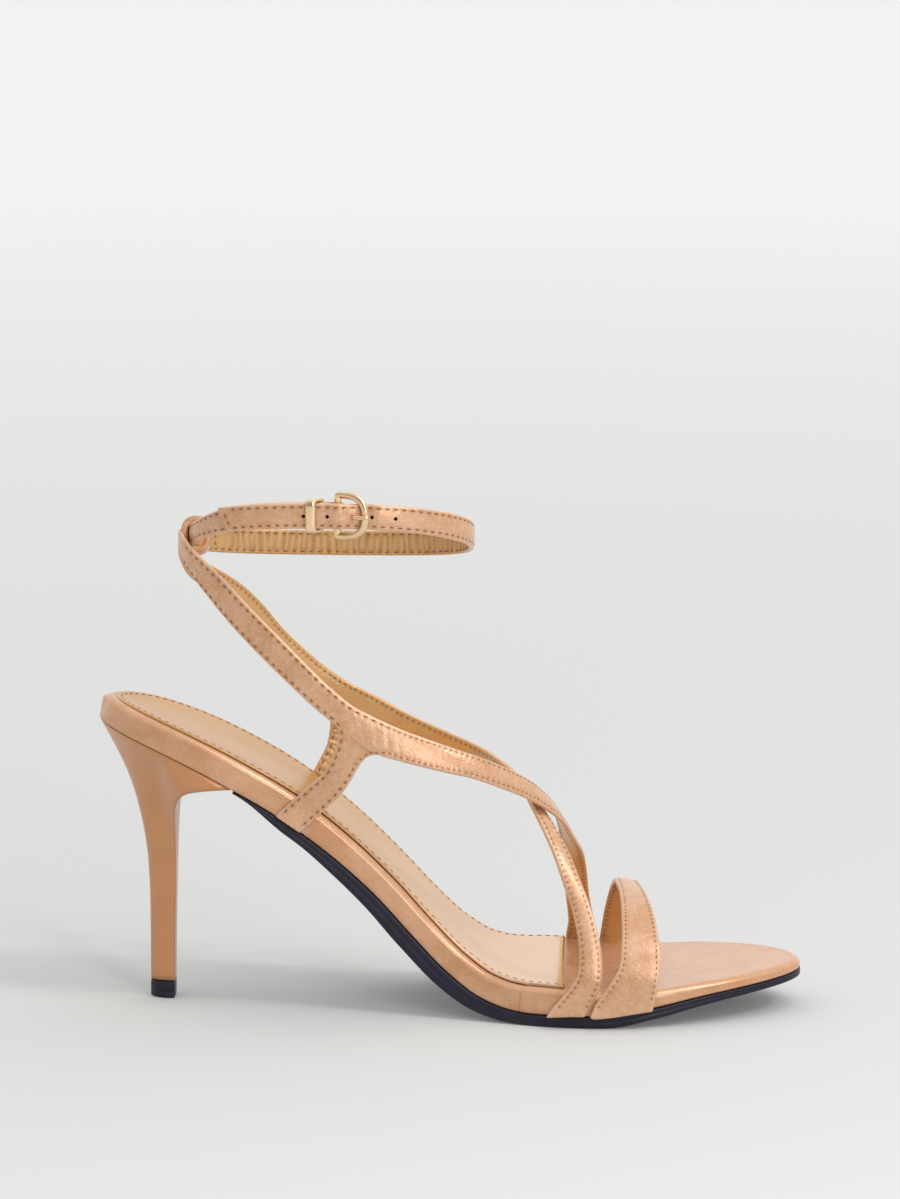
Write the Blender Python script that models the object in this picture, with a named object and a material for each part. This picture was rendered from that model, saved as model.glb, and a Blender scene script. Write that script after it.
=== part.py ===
"""A strappy high-heeled sandal for the right foot, in metres, +X to the toe and +Z up.

The origin is the middle of the heel tip's foot. The sole pieces share one last: a curve
through the table SOLE that gives the underside of the covered board, and the straps
follow the foot that would stand on it."""

import math

import bmesh
import bpy
import numpy as np
from mathutils import Vector

MM = 0.001

# Driving sizes of the last and the sole
LENGTH = 220.5 * MM
HEEL_SET_BACK = 20.0 * MM
BALL_WIDTH = 77.0 * MM
HEEL_RISE = 86.0 * MM
INSTEP = 70.0 * MM
BOARD_WALL = 7.8 * MM
TREAD = 3.6 * MM
TREAD_PROUD = 0.4 * MM
SEAT_CUP = 1.6 * MM
RIM_RADIUS = 1.6 * MM
EDGE_ROUND = 0.6 * MM
GAP = 0.3 * MM

# Sock lining
SOCK_THICK = 1.0 * MM
SOCK_INSET = 2.4 * MM
SOCK_END_SHARE = 0.675

# Heel and its tip
BREAST_SHARE = 0.198
SHAFT_DEPTH = 8.0 * MM
SHAFT_WIDTH = 9.4 * MM
HEEL_INSET = 0.3 * MM
TIP_HEIGHT = 5.6 * MM
TIP_ROUND = 0.5 * MM

# Straps
STRAP_THICK = 1.8 * MM
STRAP_EDGE = 0.5 * MM
SLING_WIDTH = 8.0 * MM
BRANCH_WIDTH = 9.0 * MM
TOE_BAND_WIDTH = 12.5 * MM
STRAP_FOOT = 0.1 * MM
TWIST_ROUNDS = 3

# Ankle strap: a loop that leans towards the inner side of the foot
ANKLE_WIDTH = 8.0 * MM
ANKLE_LENGTH = 89.0 * MM
ANKLE_ACROSS = 61.0 * MM
ANKLE_AHEAD = 1.7 * MM
ANKLE_ABOVE = 3.1 * MM
ANKLE_LEAN = 9.0 * MM
ANKLE_SAG = 1.5 * MM
ANKLE_ROUND = 2.35
LAYER_GAP = 0.45 * MM
TIP_TURN = 228.0
LAP_START = 505.0
LAP_END = 560.0
REAR_TURN = 540.0

# Rear sleeve that carries the ankle strap
SLEEVE_LENGTH = 11.0 * MM
SLEEVE_WALL = 1.6 * MM
SLEEVE_SLACK = 0.4 * MM
SLEEVE_ROOM = 0.9 * MM
SLEEVE_ROUND = 0.4

# Buckle and keeper
BAR_TURN = 273.4
WIRE = 1.6 * MM
BUCKLE_LENGTH = 10.2 * MM
BUCKLE_HEIGHT = 14.4 * MM
BULGE = 1.1 * MM
DIP = 0.9 * MM
WAVE = 4.4 * MM
PRONG = 1.3 * MM
FOLD_THICK = 0.8 * MM
KEEPER_WIDE = 3.0 * MM
KEEPER_WALL = 1.0 * MM
KEEPER_SET_BACK = 7.6 * MM
HOLE_PITCH = 7.0 * MM
HOLE_SIZE = 1.5 * MM
HOLES_EACH_SIDE = 2
PRONG_HOLE = 3.6 * MM
TIP_SLANT = 0.36

STATIONS = 44
ACROSS = 6
TINY = 1e-6

# A row for each station of the sole. "along" is a share of LENGTH from the back, "rise" a
# share of HEEL_RISE, "wall" and "tread" shares of BOARD_WALL and TREAD, "cup" of SEAT_CUP.
SOLE = (
    {"along": 0.00, "rise": 1.000, "wall": 1.04, "tread": 0.50, "cup": 0.6},
    {"along": 0.08, "rise": 0.926, "wall": 1.05, "tread": 0.50, "cup": 1.0},
    {"along": 0.15, "rise": 0.846, "wall": 1.08, "tread": 0.50, "cup": 1.0},
    {"along": 0.20, "rise": 0.778, "wall": 1.10, "tread": 0.60, "cup": 0.9},
    {"along": 0.25, "rise": 0.704, "wall": 1.10, "tread": 0.85, "cup": 0.7},
    {"along": 0.30, "rise": 0.617, "wall": 1.06, "tread": 0.92, "cup": 0.5},
    {"along": 0.35, "rise": 0.515, "wall": 1.00, "tread": 1.15, "cup": 0.5},
    {"along": 0.40, "rise": 0.396, "wall": 0.95, "tread": 1.30, "cup": 0.5},
    {"along": 0.45, "rise": 0.257, "wall": 0.94, "tread": 1.40, "cup": 0.5},
    {"along": 0.50, "rise": 0.128, "wall": 0.96, "tread": 1.40, "cup": 0.4},
    {"along": 0.55, "rise": 0.040, "wall": 0.99, "tread": 1.25, "cup": 0.3},
    {"along": 0.59, "rise": 0.008, "wall": 1.02, "tread": 1.08, "cup": 0.2},
    {"along": 0.62, "rise": 0.000, "wall": 1.03, "tread": 1.00, "cup": 0.1},
    {"along": 0.72, "rise": 0.000, "wall": 0.88, "tread": 1.00, "cup": 0.1},
    {"along": 0.79, "rise": 0.027, "wall": 0.66, "tread": 0.92, "cup": 0.1},
    {"along": 0.86, "rise": 0.060, "wall": 0.49, "tread": 0.78, "cup": 0.1},
    {"along": 0.93, "rise": 0.081, "wall": 0.40, "tread": 0.66, "cup": 0.1},
    {"along": 1.00, "rise": 0.098, "wall": 0.35, "tread": 0.60, "cup": 0.1},
)

# Half widths of the sole, as shares of BALL_WIDTH
OUTLINE = (
    {"along": 0.00, "lateral": 0.000, "medial": 0.000},
    {"along": 0.02, "lateral": 0.150, "medial": 0.148},
    {"along": 0.05, "lateral": 0.232, "medial": 0.228},
    {"along": 0.10, "lateral": 0.298, "medial": 0.292},
    {"along": 0.15, "lateral": 0.327, "medial": 0.320},
    {"along": 0.20, "lateral": 0.337, "medial": 0.328},
    {"along": 0.30, "lateral": 0.330, "medial": 0.312},
    {"along": 0.40, "lateral": 0.320, "medial": 0.308},
    {"along": 0.45, "lateral": 0.328, "medial": 0.332},
    {"along": 0.50, "lateral": 0.352, "medial": 0.382},
    {"along": 0.55, "lateral": 0.394, "medial": 0.440},
    {"along": 0.60, "lateral": 0.444, "medial": 0.487},
    {"along": 0.65, "lateral": 0.484, "medial": 0.503},
    {"along": 0.70, "lateral": 0.500, "medial": 0.494},
    {"along": 0.75, "lateral": 0.492, "medial": 0.474},
    {"along": 0.80, "lateral": 0.462, "medial": 0.450},
    {"along": 0.85, "lateral": 0.410, "medial": 0.414},
    {"along": 0.90, "lateral": 0.336, "medial": 0.358},
    {"along": 0.95, "lateral": 0.236, "medial": 0.268},
    {"along": 0.98, "lateral": 0.148, "medial": 0.172},
    {"along": 1.00, "lateral": 0.000, "medial": 0.000},
)

# Levels of the heel: "drop" is a share of the way from the seat down to the tip, and the
# others say how much of the seat's outline is left there at the back, front and sides.
HEEL = (
    {"drop": 0.000, "back": 1.000, "front": 1.000, "side": 1.000},
    {"drop": 0.014, "back": 0.965, "front": 0.500, "side": 0.960},
    {"drop": 0.032, "back": 0.915, "front": 0.250, "side": 0.890},
    {"drop": 0.055, "back": 0.850, "front": 0.155, "side": 0.800},
    {"drop": 0.090, "back": 0.755, "front": 0.085, "side": 0.670},
    {"drop": 0.134, "back": 0.640, "front": 0.045, "side": 0.530},
    {"drop": 0.190, "back": 0.505, "front": 0.035, "side": 0.390},
    {"drop": 0.260, "back": 0.365, "front": 0.030, "side": 0.260},
    {"drop": 0.340, "back": 0.245, "front": 0.026, "side": 0.165},
    {"drop": 0.430, "back": 0.140, "front": 0.022, "side": 0.095},
    {"drop": 0.550, "back": 0.055, "front": 0.018, "side": 0.045},
    {"drop": 0.700, "back": 0.018, "front": 0.010, "side": 0.018},
    {"drop": 1.000, "back": 0.000, "front": 0.000, "side": 0.000},
)

# Straps, a row for each bend. "along" is a share of LENGTH, "across" of BALL_WIDTH with
# the inner side of the foot positive, "up" of INSTEP above the board's underside, and
# "wide" of the strap's own width.
SLING_A = (
    {"along": 0.116, "across": 0.000, "up": 0.948, "wide": 0.95},
    {"along": 0.122, "across": -0.065, "up": 0.921, "wide": 1.00},
    {"along": 0.137, "across": -0.130, "up": 0.889, "wide": 1.04},
    {"along": 0.171, "across": -0.221, "up": 0.844, "wide": 1.08},
    {"along": 0.203, "across": -0.286, "up": 0.800, "wide": 1.10},
    {"along": 0.235, "across": -0.331, "up": 0.763, "wide": 1.10},
    {"along": 0.266, "across": -0.364, "up": 0.734, "wide": 1.08},
    {"along": 0.296, "across": -0.390, "up": 0.712, "wide": 1.05},
    {"along": 0.325, "across": -0.403, "up": 0.699, "wide": 1.03},
    {"along": 0.354, "across": -0.416, "up": 0.703, "wide": 1.03},
    {"along": 0.382, "across": -0.418, "up": 0.725, "wide": 1.20},
    {"along": 0.410, "across": -0.418, "up": 0.766, "wide": 1.28},
    {"along": 0.440, "across": -0.412, "up": 0.836, "wide": 1.20},
    {"along": 0.497, "across": -0.386, "up": 0.962, "wide": 1.07},
    {"along": 0.537, "across": -0.351, "up": 1.015, "wide": 0.97},
    {"along": 0.578, "across": -0.291, "up": 1.007, "wide": 0.97},
    {"along": 0.610, "across": -0.214, "up": 0.961, "wide": 0.97},
    {"along": 0.634, "across": -0.130, "up": 0.893, "wide": 0.97},
    {"along": 0.654, "across": -0.032, "up": 0.809, "wide": 0.97},
    {"along": 0.665, "across": 0.078, "up": 0.711, "wide": 0.97},
    {"along": 0.673, "across": 0.195, "up": 0.605, "wide": 0.97},
    {"along": 0.678, "across": 0.312, "up": 0.481, "wide": 0.97},
    {"along": 0.682, "across": 0.416, "up": 0.330, "wide": 0.97},
    {"along": 0.687, "across": 0.488, "up": 0.201, "wide": 1.05},
    {"along": 0.686, "across": 0.517, "up": 0.109, "wide": 1.20},
    {"along": 0.685, "across": 0.517, "up": 0.002, "wide": 1.36},
)
SLING_B = (
    {"along": 0.116, "across": 0.000, "up": 0.948, "wide": 0.95},
    {"along": 0.118, "across": 0.055, "up": 0.882, "wide": 0.92},
    {"along": 0.131, "across": 0.112, "up": 0.817, "wide": 0.90},
    {"along": 0.156, "across": 0.174, "up": 0.792, "wide": 0.95},
    {"along": 0.187, "across": 0.230, "up": 0.765, "wide": 1.00},
    {"along": 0.215, "across": 0.282, "up": 0.717, "wide": 1.00},
    {"along": 0.244, "across": 0.327, "up": 0.649, "wide": 1.00},
    {"along": 0.275, "across": 0.358, "up": 0.612, "wide": 1.00},
    {"along": 0.305, "across": 0.378, "up": 0.595, "wide": 1.00},
    {"along": 0.337, "across": 0.390, "up": 0.600, "wide": 1.05},
    {"along": 0.367, "across": 0.392, "up": 0.631, "wide": 1.10},
    {"along": 0.397, "across": 0.390, "up": 0.677, "wide": 1.06},
    {"along": 0.428, "across": 0.379, "up": 0.735, "wide": 1.00},
    {"along": 0.488, "across": 0.351, "up": 0.864, "wide": 0.95},
    {"along": 0.537, "across": 0.286, "up": 0.940, "wide": 0.90},
    {"along": 0.571, "across": 0.188, "up": 0.952, "wide": 0.87},
    {"along": 0.594, "across": 0.078, "up": 0.943, "wide": 0.84},
    {"along": 0.610, "across": -0.026, "up": 0.914, "wide": 0.80},
    {"along": 0.624, "across": -0.121, "up": 0.859, "wide": 0.78},
    {"along": 0.641, "across": -0.197, "up": 0.783, "wide": 0.78},
    {"along": 0.659, "across": -0.269, "up": 0.683, "wide": 0.76},
    {"along": 0.674, "across": -0.334, "up": 0.577, "wide": 0.74},
    {"along": 0.688, "across": -0.395, "up": 0.470, "wide": 0.76},
    {"along": 0.698, "across": -0.449, "up": 0.366, "wide": 0.82},
    {"along": 0.703, "across": -0.491, "up": 0.263, "wide": 0.90},
    {"along": 0.701, "across": -0.517, "up": 0.170, "wide": 0.98},
    {"along": 0.688, "across": -0.517, "up": 0.090, "wide": 1.10},
    {"along": 0.669, "across": -0.517, "up": 0.002, "wide": 1.32},
)
BRANCH_OUTER = (
    {"along": 0.376, "across": -0.418, "up": 0.721, "wide": 1.53},
    {"along": 0.369, "across": -0.419, "up": 0.622, "wide": 1.18},
    {"along": 0.357, "across": -0.416, "up": 0.505, "wide": 0.98},
    {"along": 0.342, "across": -0.400, "up": 0.377, "wide": 0.95},
    {"along": 0.320, "across": -0.377, "up": 0.246, "wide": 1.00},
    {"along": 0.297, "across": -0.357, "up": 0.121, "wide": 1.02},
    {"along": 0.277, "across": -0.348, "up": 0.017, "wide": 1.04},
    {"along": 0.272, "across": -0.347, "up": -0.010, "wide": 1.04},
)
BRANCH_INNER = (
    {"along": 0.352, "across": 0.392, "up": 0.616, "wide": 1.60},
    {"along": 0.349, "across": 0.395, "up": 0.537, "wide": 1.38},
    {"along": 0.344, "across": 0.390, "up": 0.444, "wide": 1.14},
    {"along": 0.336, "across": 0.374, "up": 0.336, "wide": 1.00},
    {"along": 0.324, "across": 0.356, "up": 0.229, "wide": 1.00},
    {"along": 0.311, "across": 0.338, "up": 0.123, "wide": 1.02},
    {"along": 0.299, "across": 0.330, "up": 0.041, "wide": 1.04},
    {"along": 0.294, "across": 0.329, "up": -0.010, "wide": 1.04},
)
TOE_BAND = (
    {"along": 0.749, "across": -0.514, "up": 0.002, "wide": 1.50},
    {"along": 0.756, "across": -0.516, "up": 0.054, "wide": 1.32},
    {"along": 0.765, "across": -0.514, "up": 0.118, "wide": 1.14},
    {"along": 0.772, "across": -0.497, "up": 0.192, "wide": 1.02},
    {"along": 0.773, "across": -0.434, "up": 0.284, "wide": 0.95},
    {"along": 0.769, "across": -0.294, "up": 0.386, "wide": 0.82},
    {"along": 0.763, "across": -0.136, "up": 0.440, "wide": 0.70},
    {"along": 0.756, "across": 0.019, "up": 0.459, "wide": 0.63},
    {"along": 0.751, "across": 0.182, "up": 0.443, "wide": 0.61},
    {"along": 0.746, "across": 0.338, "up": 0.372, "wide": 0.62},
    {"along": 0.739, "across": 0.444, "up": 0.249, "wide": 0.64},
    {"along": 0.735, "across": 0.492, "up": 0.133, "wide": 0.68},
    {"along": 0.734, "across": 0.495, "up": 0.056, "wide": 0.76},
    {"along": 0.735, "across": 0.494, "up": 0.002, "wide": 0.84},
)

# The middle of the foot, which the straps face away from
CORE = (
    {"along": 0.200, "across": 0.0, "up": 1.40},
    {"along": 0.210, "across": 0.0, "up": 0.90},
    {"along": 0.310, "across": 0.0, "up": 0.68},
    {"along": 0.450, "across": 0.0, "up": 0.60},
    {"along": 0.620, "across": 0.0, "up": 0.30},
    {"along": 0.900, "across": 0.0, "up": 0.12},
)

MATERIALS = {
    "leather": {"color": (0.55, 0.29, 0.16), "roughness": 0.42, "metallic": 0.25},
    "heel_cover": {"color": (0.53, 0.29, 0.15), "roughness": 0.4, "metallic": 0.25},
    "sock": {"color": (0.72, 0.50, 0.26), "roughness": 0.38, "metallic": 0.35},
    "rubber": {"color": (0.018, 0.016, 0.028), "roughness": 0.55, "metallic": 0.0},
    "gold": {"color": (0.74, 0.55, 0.30), "roughness": 0.22, "metallic": 1.0},
}


# Curves and tables

def slopes(knots, values):
    """Monotone slopes at the knots, so that a flat stretch of a table stays flat."""
    steps = np.diff(knots)
    rates = np.diff(values) / steps
    out = np.zeros(len(knots))
    out[0] = rates[0]
    out[-1] = rates[-1]
    for i in range(1, len(knots) - 1):
        if rates[i - 1] * rates[i] > 0:
            first = 2 * steps[i] + steps[i - 1]
            second = steps[i] + 2 * steps[i - 1]
            out[i] = (first + second) / (first / rates[i - 1] + second / rates[i])
    return out


def smooth(knots, values, at):
    """A cubic through the values at the knots, without overshoot."""
    knots = np.asarray(knots, float)
    values = np.asarray(values, float)
    tangents = slopes(knots, values)
    at = min(max(at, knots[0]), knots[-1])
    i = min(int(np.searchsorted(knots, at, side="right")) - 1, len(knots) - 2)
    span = knots[i + 1] - knots[i]
    t = (at - knots[i]) / span
    start = (1 + 2 * t) * (1 - t) ** 2 * values[i] + t * (1 - t) ** 2 * span * tangents[i]
    end = t * t * (3 - 2 * t) * values[i + 1] + t * t * (t - 1) * span * tangents[i + 1]
    return float(start + end)


def column(table, key, name, at):
    return smooth([row[key] for row in table], [row[name] for row in table], at)


def angle_of(along):
    """Turns a share of the length into an angle, which rounds both ends of the outline."""
    return math.acos(1 - 2 * min(max(along, 0.0), 1.0))


def half_width(side, along):
    knots = [angle_of(row["along"]) for row in OUTLINE]
    values = [row[side] for row in OUTLINE]
    return BALL_WIDTH * smooth(knots, values, angle_of(along))


def through(points, count):
    """Evenly numbered points on a smooth curve through the given ones."""
    points = np.asarray(points, float)
    padded = np.vstack([2 * points[0] - points[1], points, 2 * points[-1] - points[-2]])
    out = []
    for k in range(count):
        s = k * (len(points) - 1) / (count - 1)
        i = min(int(s), len(points) - 2)
        t = s - i
        a, b, c, d = padded[i:i + 4]
        out.append(0.5 * (2 * b + (c - a) * t + (2 * a - 5 * b + 4 * c - d) * t * t
                          + (3 * b - a - 3 * c + d) * t ** 3))
    return np.array(out)


# The last: the board's underside, its normal and what stands on it

def underside(along):
    """Height of the board's underside at a share of the length."""
    return TREAD + GAP + HEEL_RISE * column(SOLE, "along", "rise", along)


def last_point(along, y, height):
    """A point at a height above the board's underside, square to it."""
    step = 0.002
    fall = (underside(along + step) - underside(along - step)) / (2 * step * LENGTH)
    size = math.hypot(1.0, fall)
    x = along * LENGTH - HEEL_SET_BACK - fall / size * height
    return Vector((x, y, underside(along) + height / size))


def wall(along):
    return BOARD_WALL * column(SOLE, "along", "wall", along)


def seat(along, y):
    """Height of the board's top, a little hollow between its rims."""
    side = "lateral" if y < 0 else "medial"
    share = min(abs(y) / max(half_width(side, along), TINY), 1.0)
    return wall(along) - SEAT_CUP * column(SOLE, "along", "cup", along) * (1 - share ** 2)


def outline_point(side, angle, inset):
    """A point of the sole's outline in plan, moved in by the inset."""
    sign = -1 if side == "lateral" else 1
    step = 0.01

    def at(turn):
        turn = min(max(turn, 0.0), math.pi)
        along = (1 - math.cos(turn)) / 2
        return np.array([along * LENGTH, sign * half_width(side, along)])

    here = at(angle)
    along_edge = at(angle + step) - at(angle - step)
    if angle <= step:
        along_edge = np.array([0.0, sign * 1.0])
    if angle >= math.pi - step:
        along_edge = np.array([0.0, -sign * 1.0])
    inward = np.array([along_edge[1], -along_edge[0]]) * sign
    inward /= np.linalg.norm(inward)
    return here + inward * inset


def plan_grid(start, stop, inset, stations=STATIONS):
    """Rows of points in plan, each row from the outer side to the inner side of the foot."""
    rows = []
    for k in range(stations + 1):
        angle = angle_of(start) + (angle_of(stop) - angle_of(start)) * k / stations
        outer = outline_point("lateral", angle, inset)
        inner = outline_point("medial", angle, inset)
        rows.append([outer + (inner - outer) * j / ACROSS for j in range(ACROSS + 1)])
    return rows


def raised(grid, height):
    """The grid in space, at height(along, y) above the board's underside."""
    out = []
    for row in grid:
        out.append([last_point(x / LENGTH, y, height(x / LENGTH, y)) for x, y in row])
    return out


# Meshes

def material(kind):
    made = bpy.data.materials.get(kind)
    if made:
        return made
    looks = MATERIALS[kind]
    made = bpy.data.materials.new(kind)
    made.use_nodes = True
    shader = made.node_tree.nodes["Principled BSDF"]
    shader.inputs["Base Color"].default_value = (*looks["color"], 1.0)
    shader.inputs["Roughness"].default_value = looks["roughness"]
    shader.inputs["Metallic"].default_value = looks["metallic"]
    made.diffuse_color = (*looks["color"], 1.0)
    return made


def add_object(name, bm, kind):
    """Closes up a bmesh and links it as a named object."""
    bmesh.ops.remove_doubles(bm, verts=bm.verts, dist=TINY)
    bmesh.ops.dissolve_degenerate(bm, dist=TINY, edges=bm.edges)
    bmesh.ops.recalc_face_normals(bm, faces=bm.faces)
    mesh = bpy.data.meshes.new(name)
    bm.to_mesh(mesh)
    bm.free()
    mesh.materials.append(material(kind))
    made = bpy.data.objects.new(name, mesh)
    bpy.context.scene.collection.objects.link(made)
    return made


def rim_of(grid):
    """The points round a grid, in order."""
    left = [row[0] for row in grid]
    right = [row[-1] for row in grid]
    return left + grid[-1][1:-1] + right[::-1] + grid[0][-2:0:-1]


def stack(name, levels, kind):
    """A closed solid from a stack of grids: the first and last are its caps."""
    bm = bmesh.new()
    rings = []
    for number, grid in enumerate(levels):
        capped = number in (0, len(levels) - 1)
        if not capped:
            rings.append([bm.verts.new(point) for point in rim_of(grid)])
            continue
        verts = [[bm.verts.new(point) for point in row] for row in grid]
        rings.append(rim_of(verts))
        for first, second in zip(verts, verts[1:]):
            for j in range(len(first) - 1):
                bm.faces.new((first[j], first[j + 1], second[j + 1], second[j]))
    for lower, upper in zip(rings, rings[1:]):
        for j in range(len(lower)):
            k = (j + 1) % len(lower)
            bm.faces.new((lower[j], lower[k], upper[k], upper[j]))
    return add_object(name, bm, kind)


def loft(bm, sections, closed=False):
    """Joins rings of equal count, with flat ends unless the sweep closes on itself."""
    rings = [[bm.verts.new(point) for point in section] for section in sections]
    pairs = list(zip(rings, rings[1:]))
    if closed:
        pairs.append((rings[-1], rings[0]))
    for lower, upper in pairs:
        for j in range(len(lower)):
            k = (j + 1) % len(lower)
            bm.faces.new((lower[j], lower[k], upper[k], upper[j]))
    if not closed:
        bm.faces.new(rings[0])
        bm.faces.new(rings[-1][::-1])
    return rings


# Sole pieces

def make_outsole():
    """The dark outsole, from the front of the heel to the toe, with rounded edges."""
    def depth(share):
        return lambda along, y: -GAP - share * TREAD * column(SOLE, "along", "tread", along)

    start = BREAST_SHARE + GAP / LENGTH
    full = plan_grid(start, 1.0, -TREAD_PROUD)
    eased = plan_grid(start, 1.0, EDGE_ROUND - TREAD_PROUD)
    levels = [
        raised(eased, depth(1.0)),
        raised(full, depth(0.78)),
        raised(full, depth(0.14)),
        raised(eased, depth(0.0)),
    ]
    return stack("outsole", levels, "rubber")


def make_board():
    """The covered board under the whole foot, with a rounded rim."""
    full = plan_grid(0.0, 1.0, 0.0)
    soft = plan_grid(0.0, 1.0, 0.3 * RIM_RADIUS)
    rim = plan_grid(0.0, 1.0, RIM_RADIUS)
    levels = [
        raised(full, lambda along, y: 0.0),
        raised(full, lambda along, y: wall(along) - min(RIM_RADIUS, 0.6 * wall(along))),
        raised(soft, lambda along, y: wall(along) - 0.3 * RIM_RADIUS),
        raised(rim, seat),
    ]
    return stack("covered_board", levels, "leather")


def make_sock():
    """The sock lining, cut off straight behind the ball of the foot."""
    def above(share):
        return lambda along, y: seat(along, y) + GAP + share * SOCK_THICK

    full = plan_grid(0.0, SOCK_END_SHARE, SOCK_INSET)
    eased = plan_grid(0.0, SOCK_END_SHARE, SOCK_INSET + 0.4 * SOCK_THICK)
    levels = [raised(full, above(0.0)), raised(full, above(0.6)), raised(eased, above(1.0))]
    return stack("sock_lining", levels, "sock")


def heel_level(grid, row, top):
    """The seat's outline drawn in towards the shaft by a row of the table HEEL."""
    level = []
    back = -HEEL_SET_BACK
    front = BREAST_SHARE * LENGTH - HEEL_SET_BACK
    for points in grid:
        line = []
        for point in points:
            reach = front if point.x > 0 else -back
            depth = SHAFT_DEPTH / 2 * min(max(point.x / reach, -1.0), 1.0)
            shaft_y = SHAFT_WIDTH / 2 * point.y / widest()
            keep = row["front"] if point.x > 0 else row["back"]
            x = depth + keep * (point.x - depth)
            y = shaft_y + row["side"] * (point.y - shaft_y)
            z = point.z + row["drop"] * (top - point.z)
            line.append(Vector((x, y, z)))
        level.append(line)
    return level


def widest():
    """Half width of the heel's seat where it is widest."""
    return max(half_width("lateral", 0.2), half_width("medial", 0.2))


def make_heel():
    """The slim covered heel, from the seat down to the tip."""
    plan = plan_grid(0.0, BREAST_SHARE, HEEL_INSET, stations=14)
    seat_grid = raised(plan, lambda along, y: -GAP)
    top = TIP_HEIGHT + GAP
    levels = [heel_level(seat_grid, row, top) for row in HEEL]
    return stack("heel", levels[::-1], "heel_cover"), levels[-1]


def make_heel_tip(foot):
    """The replaceable tip under the heel."""
    def at(height, scale):
        return [[Vector((p.x * scale, p.y * scale, height)) for p in row] for row in foot]

    small = 1 - TIP_ROUND / SHAFT_DEPTH
    levels = [at(0.0, small), at(TIP_ROUND, 1.0), at(TIP_HEIGHT, 1.0)]
    return stack("heel_tip", levels, "rubber")


# Straps

def strap_place(row):
    along = row["along"]
    z = underside(along) + row["up"] * INSTEP
    return np.array([along * LENGTH - HEEL_SET_BACK, row["across"] * BALL_WIDTH, z])


def outward(point, tangent):
    """The direction away from the middle of the foot, square to the strap's run."""
    core = [strap_place(row) for row in CORE]
    best = None
    for start, end in zip(core, core[1:]):
        run = end - start
        share = min(max(np.dot(point - start, run) / np.dot(run, run), 0.0), 1.0)
        near = start + share * run
        away = np.linalg.norm(point - near)
        if best is None or away < best[0]:
            best = (away, near)
    out = point - best[1]
    out = out - np.dot(out, tangent) * tangent
    return out / np.linalg.norm(out)


def steady(outs, tangents):
    """Evens out how a strap twists, from one end to the other."""
    for _ in range(TWIST_ROUNDS):
        outs[1:-1] = outs[:-2] + 2 * outs[1:-1] + outs[2:]
        outs -= (outs * tangents).sum(axis=1, keepdims=True) * tangents
        outs /= np.linalg.norm(outs, axis=1, keepdims=True)
    return outs


def clear_of_wall(point, inner):
    """Keeps a strap's foot outside the board's side wall and above the outsole."""
    side = "lateral" if point[1] < 0 else "medial"
    sign = -1 if side == "lateral" else 1
    along = (point[0] + HEEL_SET_BACK) / LENGTH
    for _ in range(4):
        foot = last_point(along, point[1], 0.0)
        ahead = last_point(along, point[1], 1.0) - foot
        height = (Vector(point) - foot).dot(ahead)
        miss = Vector(point) - foot - ahead * height
        along += miss.x / LENGTH
    if height > wall(along) + RIM_RADIUS:
        return point
    least = half_width(side, along) + GAP + (0.0 if inner else STRAP_THICK)
    y = sign * max(abs(point[1]), least)
    lifted = max(height, STRAP_FOOT)
    return np.array(last_point(along, y, lifted))


def strap_section(centre, across, out, width, thick):
    """Eight points round a strap: a flat oblong with eased edges."""
    half = width / 2
    ease = STRAP_EDGE
    shape = (
        (-half, 0.0), (ease - half, 0.5), (0.0, 0.5), (half - ease, 0.5),
        (half, 0.0), (half - ease, -0.5), (0.0, -0.5), (ease - half, -0.5),
    )
    return [centre + across * u + out * v * thick for u, v in shape], [v < 0 for u, v in shape]


def make_strap(name, table, width, count, feet):
    """One strap through the rows of its table; its feet lie on the board's wall."""
    rows = [np.append(strap_place(row), row["wide"]) for row in table]
    path = through(rows, count)
    tangents = np.gradient(path[:, :3], axis=0)
    tangents /= np.linalg.norm(tangents, axis=1, keepdims=True)
    outs = np.array([outward(place[:3], tangent) for place, tangent in zip(path, tangents)])
    outs = steady(outs, tangents)
    sections = []
    for k, (place, tangent, out) in enumerate(zip(path, tangents, outs)):
        across = np.cross(tangent, out)
        points, inner = strap_section(place[:3], across, out, width * place[3], STRAP_THICK)
        if feet(k / (count - 1)):
            points = [clear_of_wall(p, low) for p, low in zip(points, inner)]
        sections.append(points)
    bm = bmesh.new()
    loft(bm, sections)
    return add_object(name, bm, "leather")


def unite(base, others):
    """Joins crossing straps into one solid, as stitched leather is."""
    for other in others:
        cut = base.modifiers.new("join_" + other.name, "BOOLEAN")
        cut.operation = "UNION"
        cut.solver = "EXACT"
        cut.object = other
        other.hide_render = True
        other.display_type = "WIRE"
    return base


# Ankle strap, sleeve, buckle and keeper

def ankle_rear():
    """Where the ankle loop starts, just ahead of the place where the slings meet."""
    return strap_place(SLING_A[0])[0] + ANKLE_AHEAD


def ankle_height():
    """The ankle loop's middle height, just above the place where the slings meet."""
    return strap_place(SLING_A[0])[2] + ANKLE_ABOVE


def ankle_point(turn, inset=0.0):
    """A point of the ankle loop: turn 0 at the front, 90 at the inner side, 180 behind."""
    angle = math.radians(turn)
    power = 2 / ANKLE_ROUND
    long = ANKLE_LENGTH / 2
    wide = ANKLE_ACROSS / 2
    c = math.copysign(abs(math.cos(angle)) ** power, math.cos(angle))
    s = math.copysign(abs(math.sin(angle)) ** power, math.sin(angle))
    x = ankle_rear() + long + (long - inset) * c
    y = (wide - inset) * s
    z = ankle_height() - ANKLE_LEAN * s - ANKLE_SAG * (1 - s * s)
    return np.array([x, y, z])


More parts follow.
